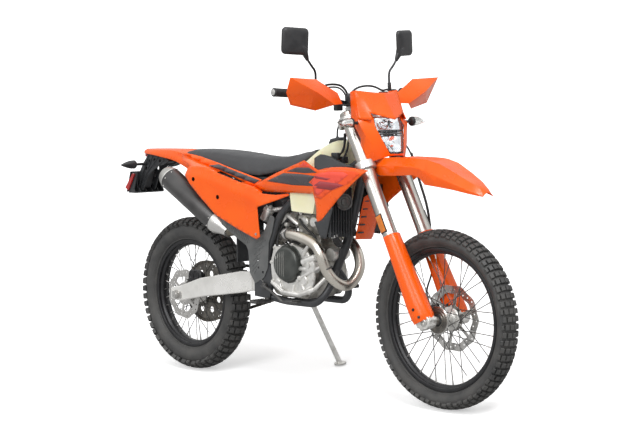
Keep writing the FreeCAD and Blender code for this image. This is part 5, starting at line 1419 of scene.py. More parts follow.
add_facets(guard,
           {"a": (1014, -4, 624), "b": (1004, 98, 618), "c": (1008, 133, 694), "d": (1014, 139, 738),
            "e": (1026, 74, 806), "f": (1028, 34, 792), "g": (1022, 92, 690), "bb": (962, 152, 626),
            "cc": (960, 154, 700), "dd": (966, 156, 742)},
           ["a b g", "a g f", "g e f", "g d e", "g c d", "b c g", "b bb cc c", "c cc dd d"])
keep_shell(guard, "guard_left", "orange_plastic", "chassis", edge=3, wall=2.5)
slots = bmesh.new()
for level in range(5):
    z = 648 + level * 31
    y = 6 + level * 8
    add_box(slots, (1004, y, z), (1027, y + 27, z + 6), 1.5)
for level in range(9):
    y = -147 + level * 14.5
    add_box(slots, (1006 + level % 2 * 2, y, 640), (1021, y + 4, 832), 1.2)
for z in (654, 700, 746, 792, 828):
    add_box(slots, (1003, -149, z), (1014, -26, z + 6), 1.5)
keep(slots, "guard_slots", "dark_plastic", "chassis")
horn = bmesh.new()
add_turned(horn,
           [(-26, 0), (-26, 14), (-8, 16), (-6, 31), (-2, 33), (3, 33), (5, 31), (4, 26), (1, 24), (1, 15),
            (5, 13), (6, 6), (6, 0)],
           (1046, -94, 780), (1, -0.45, 0.05), steps=40)
add_box(horn, (1006, -101, 774), (1030, -87, 812), 2)
keep(horn, "round_horn", "dark_steel", "chassis", sharp=40)
print("shrouds and guards done")


# %% [markdown]
# ## Fuel tank
# The tank is blow-moulded in a milky plastic, so all its corners are large. It is lofted
# through rounded cross sections. Two lobes hang down beside the frame. The cap is black, a
# thin breather hose leaves it and dives behind the bars' clamps.
# %% Tank
def oval(x, half, low, high, power=2.8, count=24):
    """A rounded rectangle round the machine's middle."""
    ring = []
    for step in range(count):
        angle = 2 * pi * (step + 0.5) / count
        across, up = cos(angle), sin(angle)
        ring.append((x, half * copysign(abs(across) ** (2 / power), across),
                     (low + high) / 2 + (high - low) / 2 * copysign(abs(up) ** (2 / power), up)))
    return ring


tank = bmesh.new()
add_loft(
    tank,
    [oval(704, 48, 874, 882), oval(707, 60, 870, 887), oval(745, 72, 866, 916), oval(800, 79, 866, 944),
     oval(850, 81, 872, 980), oval(892, 80, 880, 1004), oval(930, 77, 890, 1018), oval(952, 71, 900, 1022),
     oval(968, 62, 908, 1012), oval(984, 50, 918, 988), oval(990, 38, 930, 970)])
lobes = bmesh.new()
lobe = add_plate(
    lobes, [(754, 810), (752, 800), (761, 727), (900, 720), (921, 800), (921, 900), (800, 902), (775, 860)],
    74, 116, 14)
outer = [vert for vert in lobe if vert.co.y > 110]
for vert in outer:
    vert.co.x, vert.co.z = 838 + (vert.co.x - 838) * 0.90, 808 + (vert.co.z - 808) * 0.90
    vert.co.y = 123 - abs(vert.co.z - 780) * 0.03
rims = [edge for edge in edges_of(outer) if edge.calc_face_angle(0) > 0.6]
round_edges(lobes, rims, 9, 3)
keep(lobes, "tank_lobes", "cream_tank", "chassis", sharp=40, both=True)
keep(tank, "milky_tank", "cream_tank", "chassis", ["fuel_tank"], soft=1, sharp=60)
CAP_AT, CAP_WAY = (918, 0, 1009), (-0.18, 0, 1)
cap = bmesh.new()
add_turned(
    cap, [(-6, 0), (-6, 38), (0, 39), (4, 36), (5, 33), (15, 32), (18, 29), (19, 22), (17, 18), (17, 0)],
    CAP_AT, CAP_WAY, steps=48)
ridge = add_box(cap, (948, -3, 1012), (953, 3, 1024), 1)
repeat_round(cap, ridge, CAP_AT, Vector(CAP_WAY).normalized(), 16)
add_rod(cap, (915, 0, 1024), (914, 0, 1034), 8, 6, edge=1)
keep(cap, "tank_cap", "dark_plastic", "chassis", sharp=40)

# %% Breather and loom
for name, radius, line in (
        ("tank_breather", 3.4,
         [(914, 0, 1032), (916, -2, 1050), (922, -3, 1072), (938, -3, 1090), (968, -2, 1098),
          (1000, 0, 1096)]),
        ("loom_0", 4.6, [(994, -38, 1048), (995, -36, 1014), (984, -38, 972), (970, -60, 948)]),
        ("loom_1", 4.2, [(1002, -24, 1050), (1003, -24, 1014), (996, -28, 968), (986, -50, 936)]),
        ("loom_2", 3.2, [(994, -30, 1050), (994, -32, 1008), (984, -44, 966), (964, -70, 950)])):
    bent_tube(name, line, radius, "black_rubber", "chassis")
loom_block = bmesh.new()
add_box(loom_block, (962, -84, 946), (1000, -66, 972), 4)
add_box(loom_block, (978, -60, 930), (1008, -30, 956), 4)
keep(loom_block, "loom_connectors", "dark_plastic", "chassis")
print("tank done")

# %% [markdown]
# ## Seat
# The seat is foam under a stretched cover. Its outline is lofted slightly small, then a
# short cloth simulation with inner pressure rounds it as a cover does, and each point may
# move only a few millimetres.
# %% Seat
make_finish("seat_vinyl", "seat_cover", (0.040, 0.041, 0.044), (0.052, 0.053, 0.056), (0.46, 0.62), 0.0,
            14, 900, 0.35, depth=0.0005)
seat_stations = [
    (2, 30, 22, 955, 963), (12, 50, 40, 950, 967), (60, 70, 56, 938, 970), (110, 82, 66, 927, 971),
    (230, 97, 78, 908, 968), (320, 101, 78, 890, 962), (400, 101, 76, 874, 955), (470, 96, 68, 869, 948),
    (540, 90, 60, 868, 944), (640, 82, 53, 886, 945), (720, 76, 47, 899, 957), (780, 64, 41, 932, 973),
    (828, 50, 34, 963, 989)]


def seat_ring(station):
    x, foot, crown, low, high = station
    tall = high - low
    half = [(-foot * 0.5, low), (-foot, low), (-foot, low + tall * 0.22),
            (-(foot * 0.55 + crown * 0.45), low + tall * 0.60), (-crown, high - tall * 0.10),
            (-crown * 0.75, high - 1), (-crown * 0.35, high)]
    return [(x, y, z) for y, z in half] + [(x, -y, z) for y, z in reversed(half)]


def puffed(mesh, voxel, pressure, most):
    """Blow a closed shape up a little as a cover over foam; points move at most so many mm."""
    data = bpy.data.meshes.new("puff")
    mesh.to_mesh(data)
    mesh.free()
    data.transform(Matrix.Scale(0.001, 4))
    form = new_object("puff", data)
    grid = form.modifiers.new("grid", "REMESH")
    grid.mode = "VOXEL"
    grid.voxel_size = voxel * 0.001
    graph = bpy.context.evaluated_depsgraph_get()
    form.data = bpy.data.meshes.new_from_object(form.evaluated_get(graph))
    form.modifiers.clear()
    start = [vert.co.copy() for vert in form.data.vertices]
    cloth = form.modifiers.new("cover", "CLOTH")
    cloth.settings.use_pressure = True
    cloth.settings.uniform_pressure_force = pressure
    cloth.settings.effector_weights.gravity = 0
    for frame_number in range(1, 21):
        scene.frame_set(frame_number)
    graph = bpy.context.evaluated_depsgraph_get()
    form.data = bpy.data.meshes.new_from_object(form.evaluated_get(graph))
    form.modifiers.clear()
    scene.frame_set(1)
    result = bmesh.new()
    result.from_mesh(form.data)
    result.verts.ensure_lookup_table()
    for vert, old in zip(result.verts, start):
        move = vert.co - old
        if move.length > most * 0.001:
            vert.co = old + move.normalized() * most * 0.001
    bmesh.ops.transform(result, matrix=Matrix.Scale(1000, 4), verts=result.verts)
    bpy.data.objects.remove(form)
    return result


seat = bmesh.new()
add_loft(seat, [seat_ring(station) for station in seat_stations])
bmesh.ops.recalc_face_normals(seat, faces=seat.faces)
VOXEL, PRESSURE, MOST_MOVE = 6, 4, 4
cushion = keep(puffed(seat, VOXEL, PRESSURE, MOST_MOVE), "seat_pad", "seat_vinyl", "chassis", ["seat"],
               soft=1, sharp=60)
print("seat done, faces", len(cushion.data.polygons))


# %% [markdown]
# ## Tail
# The rear fender starts as a wide tray under the seat and narrows to a flat tail. On each
# side a strip with a dark film joins it to the shroud, above the side panel. The panels
# roll in at their top and rear edges. Their two small round openings are near-black discs,
# painted shade in place of holes.
# %% Rear fender and strips
fender_rows = []
for x, half, low, crease, high in (
        (-298, 40, 955, 962, 966), (-288, 46, 950, 966, 971), (-200, 62, 944, 968, 972),
        (-60, 80, 928, 968, 972), (-6, 87, 918, 962, 969), (60, 95, 897, 925, 934),
        (150, 106, 862, 895, 912)):
    row = [(x, -half, low), (x, -half * 0.98, (low + crease) / 2), (x, -half * 0.86, crease),
           (x, -half * 0.56, high), (x, 0, high)]
    fender_rows.append(row + [(px, -py, pz) for px, py, pz in reversed(row[:-1])])
tail = bmesh.new()
add_open_loft(tail, fender_rows)
keep(tail, "tail_fender", "orange_plastic", "chassis", ["rear_fender"], wall=3, edge=2, sharp=28)
strip_top = [(-20, 962), (60, 958), (120, 952), (180, 943), (293, 921), (421, 890), (572, 856)]


def strip_out(x, z):
    return 92 + min(20.0, 0.062 * max(0.0, x)) - 0.30 * max(0.0, z - level_at(strip_top, x) + 26)


strips = bmesh.new()
strip_films = bmesh.new()
for side in SIDES:
    side_sheet(strips, side,
               [(-14, 960), (83, 945), (245, 905), (393, 866), (522, 826), (550, 834), (572, 856),
                (421, 890), (293, 921), (180, 943), (120, 952), (40, 960)], strip_out, corner=3)
    side_sheet(strip_films, side,
               [(236, 908), (300, 915), (420, 885), (560, 853), (534, 838), (392, 872), (322, 889)],
               lambda x, z: strip_out(x, z) + 0.7, corner=1.5)
keep(strips, "tail_strips", "orange_plastic", "chassis", wall=3, flip=False, sharp=50)
keep(strip_films, "strip_films", "film_grey", "chassis", wall=0.5, flip=False, sharp=50)

# %% Side panels
panel_outline = [(172, 908), (158, 898), (150, 866), (250, 780), (346, 705), (470, 654), (587, 613),
                 (606, 624), (590, 745), (680, 772), (765, 799), (760, 806), (690, 798), (612, 801),
                 (548, 826), (404, 866), (260, 904)]
panel_top = [(150, 909), (260, 904), (404, 866), (548, 826), (612, 801), (765, 808)]


def panel_out(x, z):
    roll = step_up(z, level_at(panel_top, x) - 46, level_at(panel_top, x)) * 13
    heel = (1 - step_up(x, 150, 196)) * 9
    hollow = 4 * exp(-(((x - 520) / 90) ** 2 + ((z - 735) / 45) ** 2))
    return 188.5 - 0.0612 * x - roll - heel - hollow


def shelf(mesh, stretch, sink):
    """Join a panel's upper edge to the strip's lower edge along x."""
    rows = []
    for x, inner_x, inner_z in stretch:
        top = level_at(panel_top, x)
        outer = panel_out(x, top - 1)
        rows.append([(x, outer - 1, top - 2), (x, outer - 12, top + 2 - sink),
                     ((x + inner_x) / 2, (outer + 104) / 2, (top + inner_z) / 2 - sink),
                     (inner_x, strip_out(inner_x, inner_z) - 1, inner_z + 1 - sink * 0.6)])
    add_open_loft(mesh, rows)


shelves, gap_shades = bmesh.new(), bmesh.new()
shelf(shelves, [(152, 30, 956), (200, 120, 936), (260, 210, 914), (338, 318, 886)], 0)
shelf(shelves, [(484, 470, 843), (548, 522, 827), (600, 560, 834)], 0)
# The middle stretch is sunk and dark: painted shade for the gap between the panel and the strip.
shelf(gap_shades, [(330, 310, 888), (345, 322, 885), (404, 393, 867), (470, 452, 849), (500, 470, 843)], 14)
keep(shelves, "panel_shelves", "orange_plastic", "chassis", wall=2.5, sharp=50, both=True)
keep(gap_shades, "gap_shade_shelves", "dark_plastic", "chassis", wall=2.5, sharp=50, both=True)
for side, side_name in SIDE_NAMES:
    panel = bmesh.new()
    side_sheet(panel, side, panel_outline, panel_out, step=13, corner=5)
    keep(panel, "panel_" + side_name, "orange_plastic", "chassis", ["side_panel_" + side_name], wall=3,
         flip=False, sharp=50)
# The openings are not cut: each is a near-black disc with a thin lip, painted shade for the hole.
shaded_panel_eyes, panel_bolts = bmesh.new(), bmesh.new()
for x, z in ((213, 852), (360, 780)):
    add_turned(shaded_panel_eyes, [(0.4, 0), (0.4, 6.6), (1.2, 8.0), (0.4, 9.0), (-2, 9.0)],
               (x, panel_out(x, z), z), steps=20)
add_bolt(panel_bolts, (584, panel_out(584, 634) - 0.5, 634), LEFT, 4.5, 3.5)
keep(shaded_panel_eyes, "shaded_panel_eyes", "deep_hole", "chassis", sharp=40, both=True)
keep(panel_bolts, "panel_bolts", "steel", "chassis", both=True)
print("tail plastics done")

# %% [markdown]
# ## Tail bracket
# A ribbed black bracket hangs under the tail. It carries a bare holder for a plate, with
# nothing written on it, a red reflector on each side and two indicators in black shells.
# %% Bracket, reflectors and indicators
bracket = bmesh.new()
arm = [(-128, 921), (-153, 932), (-211, 950), (-271, 950), (-305, 913), (-338, 868), (-352, 782),
       (-318, 780), (-286, 842), (-222, 892), (-168, 900)]
openings = [(-190, 918, 8), (-228, 921, 9), (-264, 914, 10), (-290, 882, 9), (-308, 846, 8), (-326, 812, 8)]
add_plate(bracket, arm, 30.5, 35.5, 5, holes=openings)
for start, stop in (((-268, 948), (-345, 800)), ((-238, 944), (-330, 792)), ((-200, 936), (-312, 838)),
                    ((-160, 922), (-284, 850))):
    add_rod(bracket, (start[0], 36, start[1]), (stop[0], 36, stop[1]), 3.6, sides=8)
mirror_across(bracket)
add_plate(bracket,
          [(-150, 918), (-268, 940), (-300, 904), (-344, 790), (-330, 790), (-292, 880), (-258, 916),
           (-160, 906)], -18, 18, 5)
for x, z in ((-296, 910), (-312, 880), (-322, 850), (-330, 818), (-252, 930)):
    add_box(bracket, (x - 3, -34, z - 14), (x + 3, 34, z + 14), 1.5)
add_box(bracket, (-280, -33, 934), (-190, 33, 950), 4)
keep(bracket, "ribbed_bracket", "dark_plastic", "chassis", ["tail_bracket"], sharp=40)
holder, reflectors = bmesh.new(), bmesh.new()
add_plate(holder, [(-297, 866), (-321, 864), (-350, 774), (-328, 774)], 77, 83, 3, edge=1)
mirror_across(holder)
add_plate(holder, [(-334, 868), (-364, 776), (-369, 776), (-339, 869)], -90, 90, 1, edge=1)
add_plate(holder, [(-366, 776), (-366, 771), (-312, 771), (-312, 776)], -80, 80, 1, edge=1)
for y in (-82, -50, -17, 17, 50, 82):
    add_plate(holder, [(-336, 864), (-364, 778), (-314, 774), (-320, 788), (-338, 800)], y - 2, y + 2, 3)
keep(holder, "plate_holder", "dark_plastic", "chassis", sharp=40)
add_plate(reflectors, [(-308, 857), (-320, 862), (-376, 795), (-355, 783)], 84, 92, 2, edge=0.8)
keep(reflectors, "red_reflectors", "red_lens", "chassis", sharp=40, both=True)
lamp = bmesh.new()
add_box(lamp, (-306, -30, 934), (-290, 30, 952), 5, segments=3)
keep(lamp, "tail_lamp", "red_lens", "chassis")
indicator("chassis", "rear_indicators", (-288, 38.3, 902), LEFT, 62, 80, "housing_black", "dark_plastic")
print("tail bracket done")

# %% [markdown]
# ## Engine
# One cast block with machined covers bolted to it. The crankcase is two plates with large
# rounded edges. The clutch cover is a dark turned dish with raised ribs, painted a lighter
# grey as their highlight, and the flywheel cover on the left is a bright one. Ribs, bosses,
# a water pump and rows of bolts make it busy.
# %% Crankcase, cylinder and head
make_finishes([("link_pipe", "pipe_steel", (0.20, 0.18, 0.15), (0.12, 0.11, 0.09), (0.24, 0.38), 0.9, 11,
                420, 0.08, {}),
               ("header_pipe", "pipe_steel", (0.70, 0.665, 0.60), (0.54, 0.505, 0.445), (0.24, 0.34), 1.0,
                11, 420, 0.08, {"stretch": (0.3, 1, 0.3)})])
case_outline = [(612, 424), (642, 388), (700, 379), (834, 379), (866, 420), (874, 500), (860, 546),
                (640, 546), (614, 500)]


def grow(outline, amount):
    """Move an outline's points away from its middle."""
    mid_x = sum(x for x, z in outline) / len(outline)
    mid_z = sum(z for x, z in outline) / len(outline)
    return [(mid_x + (x - mid_x) * (1 + amount), mid_z + (z - mid_z) * (1 + amount)) for x, z in outline]


def bolt_row(mesh, outline, y, way, radius, height, skip=0.0):
    for x, z in grow(outline, skip):
        add_rod(mesh, (x, y - way * 8, z), (x, y + way * 1.5, z), radius * 1.9, sides=12, edge=1.2)
        add_bolt(mesh, (x, y + way, z), (0, way, 0), radius, height)


block = bmesh.new()
add_plate(block, case_outline, -101, 53, 12, edge=4)
add_plate(block, grow(case_outline, -0.03), -20, -12, 8, edge=1)
add_plate(
    block, [(718, 384), (832, 384), (862, 422), (868, 500), (852, 540), (718, 540)], 50, 92, 10, edge=4)
barrel = [(754, 540), (751, 640), (872, 640), (879, 546)]
add_plate(block, barrel, -62, 62, 12, edge=3)
for level in range(5):
    add_plate(block,
              [(752, 556 + level * 17), (751, 561 + level * 17), (878, 563 + level * 17),
               (879, 558 + level * 17)], -66, 66, 1)
add_plate(block, [(750, 636), (748, 716), (878, 722), (904, 642)], -67, 67, 9, edge=3)
add_plate(block, [(752, 714), (752, 745), (868, 752), (876, 722)], -62, 62, 10, edge=4)
for y in (-44, -12, 20, 48):
    add_plate(block, [(748, 640), (744, 700), (752, 712), (880, 718), (902, 650)], y - 2, y + 2, 4)
add_rod(block, (892, 12, 650), (915, 22, 640), 27, 25, sides=24, edge=3)
add_rod(block, (756, 0, 690), (700, 0, 716), 27, 25, sides=24, edge=3)
keep(block, "engine_block", "cast_alloy", "chassis", ["engine"], sharp=35)

# %% Covers and bosses
CLUTCH_X, CLUTCH_Z = 741, 519
FLYWHEEL_X, FLYWHEEL_Z = 800, 462


def bolt_circle(mesh, middle, ring, first, way, height):
    """Six bolts round a cover, from a first angle on."""
    x, y, z = middle
    for turn in range(6):
        angle = turn * pi / 3 + first
        add_bolt(mesh, (x + ring * cos(angle), y, z + ring * sin(angle)), way, 4, height)


covers = bmesh.new()
right_cover = [(648, 584), (626, 520), (632, 440), (690, 396), (800, 388), (862, 404), (884, 462),
               (878, 536), (840, 580), (760, 602)]
add_plate(covers, right_cover, -114, -98, 12, edge=4)
# Raised pads and hose ends on the right cover: start, stop, radius, narrowing, sides
for sides, narrowing, pads in (
        (14, 0.8,
         (((655, -116, 436), (720, -122, 402), 8), ((720, -122, 402), (800, -120, 398), 9),
          ((800, -120, 398), (868, -112, 432), 8), ((790, -118, 452), (878, -112, 500), 7),
          ((826, -116, 560), (870, -108, 620), 9), ((700, -116, 402), (690, -116, 436), 7),
          ((760, -118, 394), (772, -116, 436), 7), ((836, -114, 404), (816, -114, 440), 6))),
        (16, 0.85,
         (((833, -122, 530), (900, -116, 556), 15), ((812, -124, 466), (924, -104, 520), 6.5),
          ((808, -118, 504), (872, -116, 505), 9), ((640, -116, 438), (706, -120, 401), 10),
          ((706, -120, 401), (806, -120, 397), 11), ((806, -120, 397), (884, -108, 424), 10),
          ((884, -108, 424), (922, -84, 470), 9), ((660, -74, 676), (692, -76, 716), 11),
          ((692, -76, 716), (760, -76, 676), 10)))):
    for start, stop, radius in pads:
        add_rod(covers, start, stop, radius, radius * narrowing, sides=sides, edge=2)
for spot, steps, outline in (
        ((866, -106, 520), 32, [(-20, 34), (8, 34), (14, 30), (17, 22), (19, 12), (24, 11), (24, 0)]),
        ((832, -110, 458), 24, [(-10, 20), (10, 20), (13, 17), (13, 0)]),
        ((676, -112, 440), 20, [(-10, 15), (8, 15), (10, 12), (10, 0)]),
        ((792, -64, 690), 24, [(0, 22), (9, 22), (12, 18), (12, 0)]),
        ((846, -64, 690), 24, [(0, 22), (9, 22), (12, 18), (12, 0)])):
    add_turned(covers, outline, spot, RIGHT, steps=steps)
add_rod(covers, (880, -112, 536), (912, -84, 590), 12, 10, sides=18, edge=2)
add_turned(covers, [(0, 58), (12, 58), (18, 54), (21, 46), (22, 18), (26, 16), (26, 0)],
           (FLYWHEEL_X, 92, FLYWHEEL_Z), steps=48)
add_plate(
    covers, [(716, 402), (690, 398), (646, 420), (640, 470), (662, 520), (716, 530)], 52, 88, 10, edge=4)
add_rod(covers, (905, -40, 560), (905, 44, 560), 27, sides=28, edge=4)
add_rod(covers, (905, 44, 560), (905, 62, 560), 20, 16, sides=24, edge=3)
bolt_row(covers, right_cover, -114, -1, 4.2, 4.5, -0.05)
for way in SIDES:
    bolt_row(covers, [(764, 724), (764, 650), (862, 728), (880, 652), (822, 728)], way * 67, way, 4.5, 5)
bolt_circle(covers, (FLYWHEEL_X, 106, FLYWHEEL_Z), 52, 0.3, LEFT, 4)
for x, y, z, radius in ((691, -84, 674, 9), (689, -86, 713, 9), (652, -82, 688, 7), (814, -130, 466, 10),
                        (900, -122, 556, 9)):
    add_rod(covers, (x, y + 14, z), (x, y, z), radius, sides=14, edge=2)
    add_bolt(covers, (x, y, z), RIGHT, radius * 0.55, 4)
keep(covers, "engine_covers", "rough_alloy", "chassis", sharp=35)

# %% Hoses, clips and the clutch cover
# The two thin hoses on the right of the engine are partly its plumbing and partly dark lines painted as the
# shade in its crevices.
for name, line, radius in (
        ("coolant_hose_right",
         [(1002, -112, 652), (1002, -100, 622), (984, -60, 604), (940, -30, 612), (910, -20, 628)], 13),
        ("coolant_bridge", [(1000, -30, 706), (1000, -12, 690), (1000, 0, 660), (1000, 10, 640)], 10),
        ("rear_hose_crevice_shade",
         [(700, -72, 700), (660, -84, 668), (648, -92, 612), (660, -104, 560), (700, -112, 560)], 5),
        ("front_hose_crevice_shade",
         [(770, -78, 700), (800, -84, 668), (872, -88, 640), (892, -96, 590), (872, -112, 556)], 5)):
    bent_tube(name, line, radius, "black_rubber", "chassis")
clips = bmesh.new()
for spot, way, radius in (((1002, -110, 646), (0, 0.3, -1), 14), ((1000, -24, 700), (0, 0.8, -1), 11),
                          ((922, -24, 620), (-1, 0, 0.5), 14)):
    low, high = radius - 1, radius + 1.4
    add_turned(clips, [(-5, low), (-5, high), (5, high), (5, low), (-5, low)], spot, way, steps=28)
keep(clips, "hose_clips", "bright_alloy", "chassis", sharp=40)
dish = bmesh.new()
add_turned(
    dish, [(-20, 0), (-20, 73), (6, 73), (9, 71.5), (15, 71), (19, 68), (21.5, 63), (22.5, 56), (22.5, 0)],
    (CLUTCH_X, -118, CLUTCH_Z), RIGHT, steps=56)
add_turned(dish, [(0, 79), (4, 79), (6, 77), (6, 70), (0, 70)], (CLUTCH_X, -113, CLUTCH_Z), RIGHT, steps=48)
bolt_circle(dish, (CLUTCH_X, -116, CLUTCH_Z), 75, 0.5, RIGHT, 6)
keep(dish, "clutch_cover", "cover_dark", "chassis", sharp=35)
# The raised ribs get a lighter grey than the dark cover, painted as the highlight along them.
cover_ribs = bmesh.new()
for offset in (-50, -39, -28, -17, -6):
    x, half = CLUTCH_X + offset, sqrt(60 ** 2 - offset ** 2) * 0.96
    for tall in (-half, half):
        add_rod(cover_ribs, (CLUTCH_X + offset * 1.06, -138.5, CLUTCH_Z + tall),
                (x, -140.5, CLUTCH_Z + tall * 0.55), 1.6, 2.6, sides=8)
    add_rod(
        cover_ribs, (x, -140.5, CLUTCH_Z - half * 0.55), (x, -140.5, CLUTCH_Z + half * 0.55), 2.6, sides=8)
keep(cover_ribs, "cover_ribs", "cover_ribs", "chassis", sharp=35)
print("engine done")

# %% [markdown]
# ## Exhaust
# A bare steel pipe leaves the head, loops down in front of the frame and runs back along
# the right side. Clamp rings join it to a conical link and to the silencer: a dark sleeve
# between a bright nose and a cone, with a ring and rivets at each end.
# %% Header, link and silencer
def through(points, steps=3):
    """More points on a smooth line that passes through the given ones."""
    points = [Vector(point) for point in points]
    line = [points[0] * 2 - points[1]] + points + [points[-1] * 2 - points[-2]]
    result = []
    for a, b, c, d in zip(line, line[1:], line[2:], line[3:]):
        for step in range(steps):
            t = step / steps
            curve = (2 * a - 5 * b + 4 * c - d) * t * t + (3 * b - a - 3 * c + d) * t ** 3
            result.append(0.5 * (2 * b + (c - a) * t + curve))
    return result + [points[-1]]


header_points = [(892, 16, 655), (922, 46, 622), (966, 52, 572), (1000, 34, 512), (1008, -6, 462),
                 (1001, -52, 441), (981, -98, 468), (958, -121, 518), (945, -132, 570), (910, -134, 610),
                 (828, -133, 634), (732, -115, 640), (654, -64, 614)]
bent_tube("header", through(header_points), 21, "header_pipe", "chassis", ["exhaust_header"], sides=8)
pipe_rings, bands = bmesh.new(), bmesh.new()
add_turned(pipe_rings, [(-9, 20.5), (-9, 24), (-7, 25), (7, 25), (9, 24), (9, 20.5), (-9, 20.5)],
           (738, -117, 641), (-1, 0.22, 0), steps=32)
add_turned(pipe_rings, [(-7, 20.5), (-7, 25), (7, 25), (7, 20.5), (-7, 20.5)], (896, 20, 652),
           (-0.7, -0.6, 0.7), steps=32)
add_bolt(pipe_rings, (738, -145, 648), (0, -0.7, 0.7), 4, 4)
keep(pipe_rings, "pipe_rings", "steel", "chassis", sharp=40)
band_outline = [(-3.5, 20.5), (-3.5, 23), (-2, 24.4), (2, 24.4), (3.5, 23), (3.5, 20.5), (-3.5, 20.5)]
for spot, way in (((751, -120, 641), (-1, 0.22, 0)), ((725, -113, 640), (-1, 0.3, -0.1)),
                  ((963, -112, 512), (0.3, 0.25, -0.9))):
    add_turned(bands, band_outline, spot, way, steps=32)
keep(bands, "pipe_bands", "dark_steel", "chassis", sharp=40)
nose_end, tail_end = Vector((298, -108, 666)), Vector((-14, -118, 848))
run = (tail_end - nose_end).normalized()
length = (tail_end - nose_end).length
link = through([(654, -64, 614), (620, -58, 604), (590, -60, 608), (520, -68, 622), (440, -88, 638),
                nose_end - run * 70], 3)
bent_tube("pipe_link", link, 20, "link_pipe", "chassis", sides=8)
sleeve = bmesh.new()
add_turned(sleeve, [(0, 0), (0, 48.5), (3, 49.8), (length - 3, 49.8), (length, 48.5), (length, 0)],
           nose_end, run, steps=56)
keep(sleeve, "silencer_sleeve", "silencer_skin", "chassis", ["silencer"], sharp=35)
ends = bmesh.new()
add_turned(ends, [(-70, 0), (-70, 24), (-62, 25), (-40, 33), (-8, 48.8), (8, 50.4), (14, 50.6), (14, 49)],
           nose_end, run, steps=56)
add_turned(ends, [(length - 5, 49), (length - 5, 50.6), (length - 1, 50.6), (length - 1, 49)], nose_end,
           run, steps=56)
across = run.orthogonal().normalized()
aside = run.cross(across)
for rivet in range(8):
    angle = rivet * pi / 4 + 0.35
    out = across * cos(angle) + aside * sin(angle)
    for reach in (22, length - 18):
        spot = nose_end + run * reach
        add_rod(ends, spot + out * 49, spot + out * 51.6, 3.4, 2.4, sides=10, edge=0.5)
keep(ends, "silencer_ends", "bright_alloy", "chassis", sharp=35)
cone = bmesh.new()
add_turned(cone,
           [(length - 2, 0), (length - 2, 49.6), (length + 2, 49.4), (length + 22, 44), (length + 34, 37),
            (length + 35, 33), (length + 24, 22), (length + 24, 17), (length + 4, 17), (length + 4, 0)],
           nose_end, run, steps=48)
keep(cone, "silencer_cone", "cap_grey", "chassis", sharp=35)
print("exhaust done")

# %% [markdown]
# ## Frame, swingarm and shock
# The frame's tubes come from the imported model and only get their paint. Ribbed guards cover
# the frame beside the rider's boots. The swingarm is redrawn with soft edges. The shock's
# spring is a round wire wound along a helix.
# %% Frame guards and swingarm
frame_guards, arm_guards, arm_ribs = bmesh.new(), bmesh.new(), bmesh.new()
plate_shape = [(498, 560), (484, 581), (542, 612), (598, 646), (640, 716), (664, 702), (646, 640),
               (626, 600), (618, 495), (592, 450), (538, 424), (504, 470)]
arm_shape = [(346, 708), (470, 654), (588, 612), (562, 598), (508, 552), (484, 581), (420, 618), (350, 664)]


def arm_out(x, z):
    """The arm guard leans out towards the rear, where it covers the silencer's nose."""
    return 119 + 0.13 * max(0.0, 500 - x)


add_plate(
    frame_guards, plate_shape, 117.5, 121, 8, holes=[(556, 524, 5), (560, 492, 5), (588, 474, 6)], edge=1)
for level in range(6):
    z = 470 + level * 25
    for x, rise in ((520, 0), (534, -6)):
        add_rod(frame_guards, (x + level * 5, 121, z + rise), (x + 14 + level * 12, 121, z + 20 + rise),
                1.8, sides=8)
for level in range(10):
    x = 366 + level * 14
    start, stop = (x, 688 - level * 7.5), (x + 16, 652 - level * 8.0)
    add_rod(arm_ribs, (start[0], arm_out(*start) + 0.6, start[1]), (stop[0], arm_out(*stop) + 0.6, stop[1]),
            1.7, sides=8)
for side in SIDES:
    side_sheet(arm_guards, side, arm_shape, arm_out, corner=3)
keep(frame_guards, "frame_guards", "guard_grey", "chassis", sharp=40, both=True)
keep(arm_guards, "arm_guards", "guard_grey", "chassis", wall=3, flip=False, sharp=40)
keep(arm_ribs, "arm_ribs", "guard_grey", "chassis", sharp=40, both=True)

# %% Swingarm and rear axle
PIVOT_X, PIVOT_Z = 575, 430
AXLE_Z = REAR_AXLE.z
arm_side = [(-42, 314), (20, 310), (160, 338), (430, 376), (500, 390), (500, 466), (430, 467), (160, 420),
            (20, 376), (-42, 366)]
swing = bmesh.new()
add_plate(swing, arm_side, 79.5, 106.5, 7, edge=4)
add_plate(swing, [(490, 388), (604, 405), (606, 455), (550, 464), (490, 466)], 79.5, 99, 7, edge=3)
add_plate(swing, [(60, 352), (150, 366), (150, 392), (60, 372)], 106.2, 107.8, 4)
mirror_across(swing)
add_box(swing, (446, -80, 396), (520, 80, 452), 8, segments=3)
add_rod(swing, (PIVOT_X, -99, PIVOT_Z), (PIVOT_X, 99, PIVOT_Z), 24, sides=32, edge=3)
keep(swing, "soft_swingarm", "arm_alloy", "chassis", ["swingarm"], sharp=35)
fittings = bmesh.new()
add_box(fittings, (-46, 81, 326), (-38, 105, 352), 2)
add_rod(fittings, (-52, 93, 339), (-40, 93, 339), 6, sides=6, edge=0.6)
add_plate(fittings, [(-30, 352), (-30, 320), (34, 320), (34, 352)], 106.5, 109, 5, edge=0.6)
add_rod(fittings, (PIVOT_X, 103, PIVOT_Z), (PIVOT_X, 121, PIVOT_Z), 15, sides=6, edge=1)
add_turned(fittings, [(0, 11), (0, 20), (3, 20), (3, 11)], (0, 108, AXLE_Z), steps=28)
add_rod(fittings, (0, 110, AXLE_Z), (0, 118, AXLE_Z), 17, sides=6, edge=1.2)
add_rod(fittings, (0, 107, AXLE_Z), (0, 121, AXLE_Z), 11, sides=20, edge=1)
mirror_across(fittings)
add_rod(fittings, (0, -108, AXLE_Z), (0, 108, AXLE_Z), 11.9, sides=24)
keep(fittings, "axle_fittings", "steel", "chassis", ["rear_axle"], sharp=35)
guides = bmesh.new()
add_plate(guides,
          [(330, 372), (560, 398), (600, 428), (600, 462), (560, 474), (430, 474), (330, 452), (330, 446),
           (430, 467), (556, 466), (590, 440), (552, 405), (330, 380)], 70, 79, 2)
keep(guides, "chain_slider", "dark_plastic", "chassis")

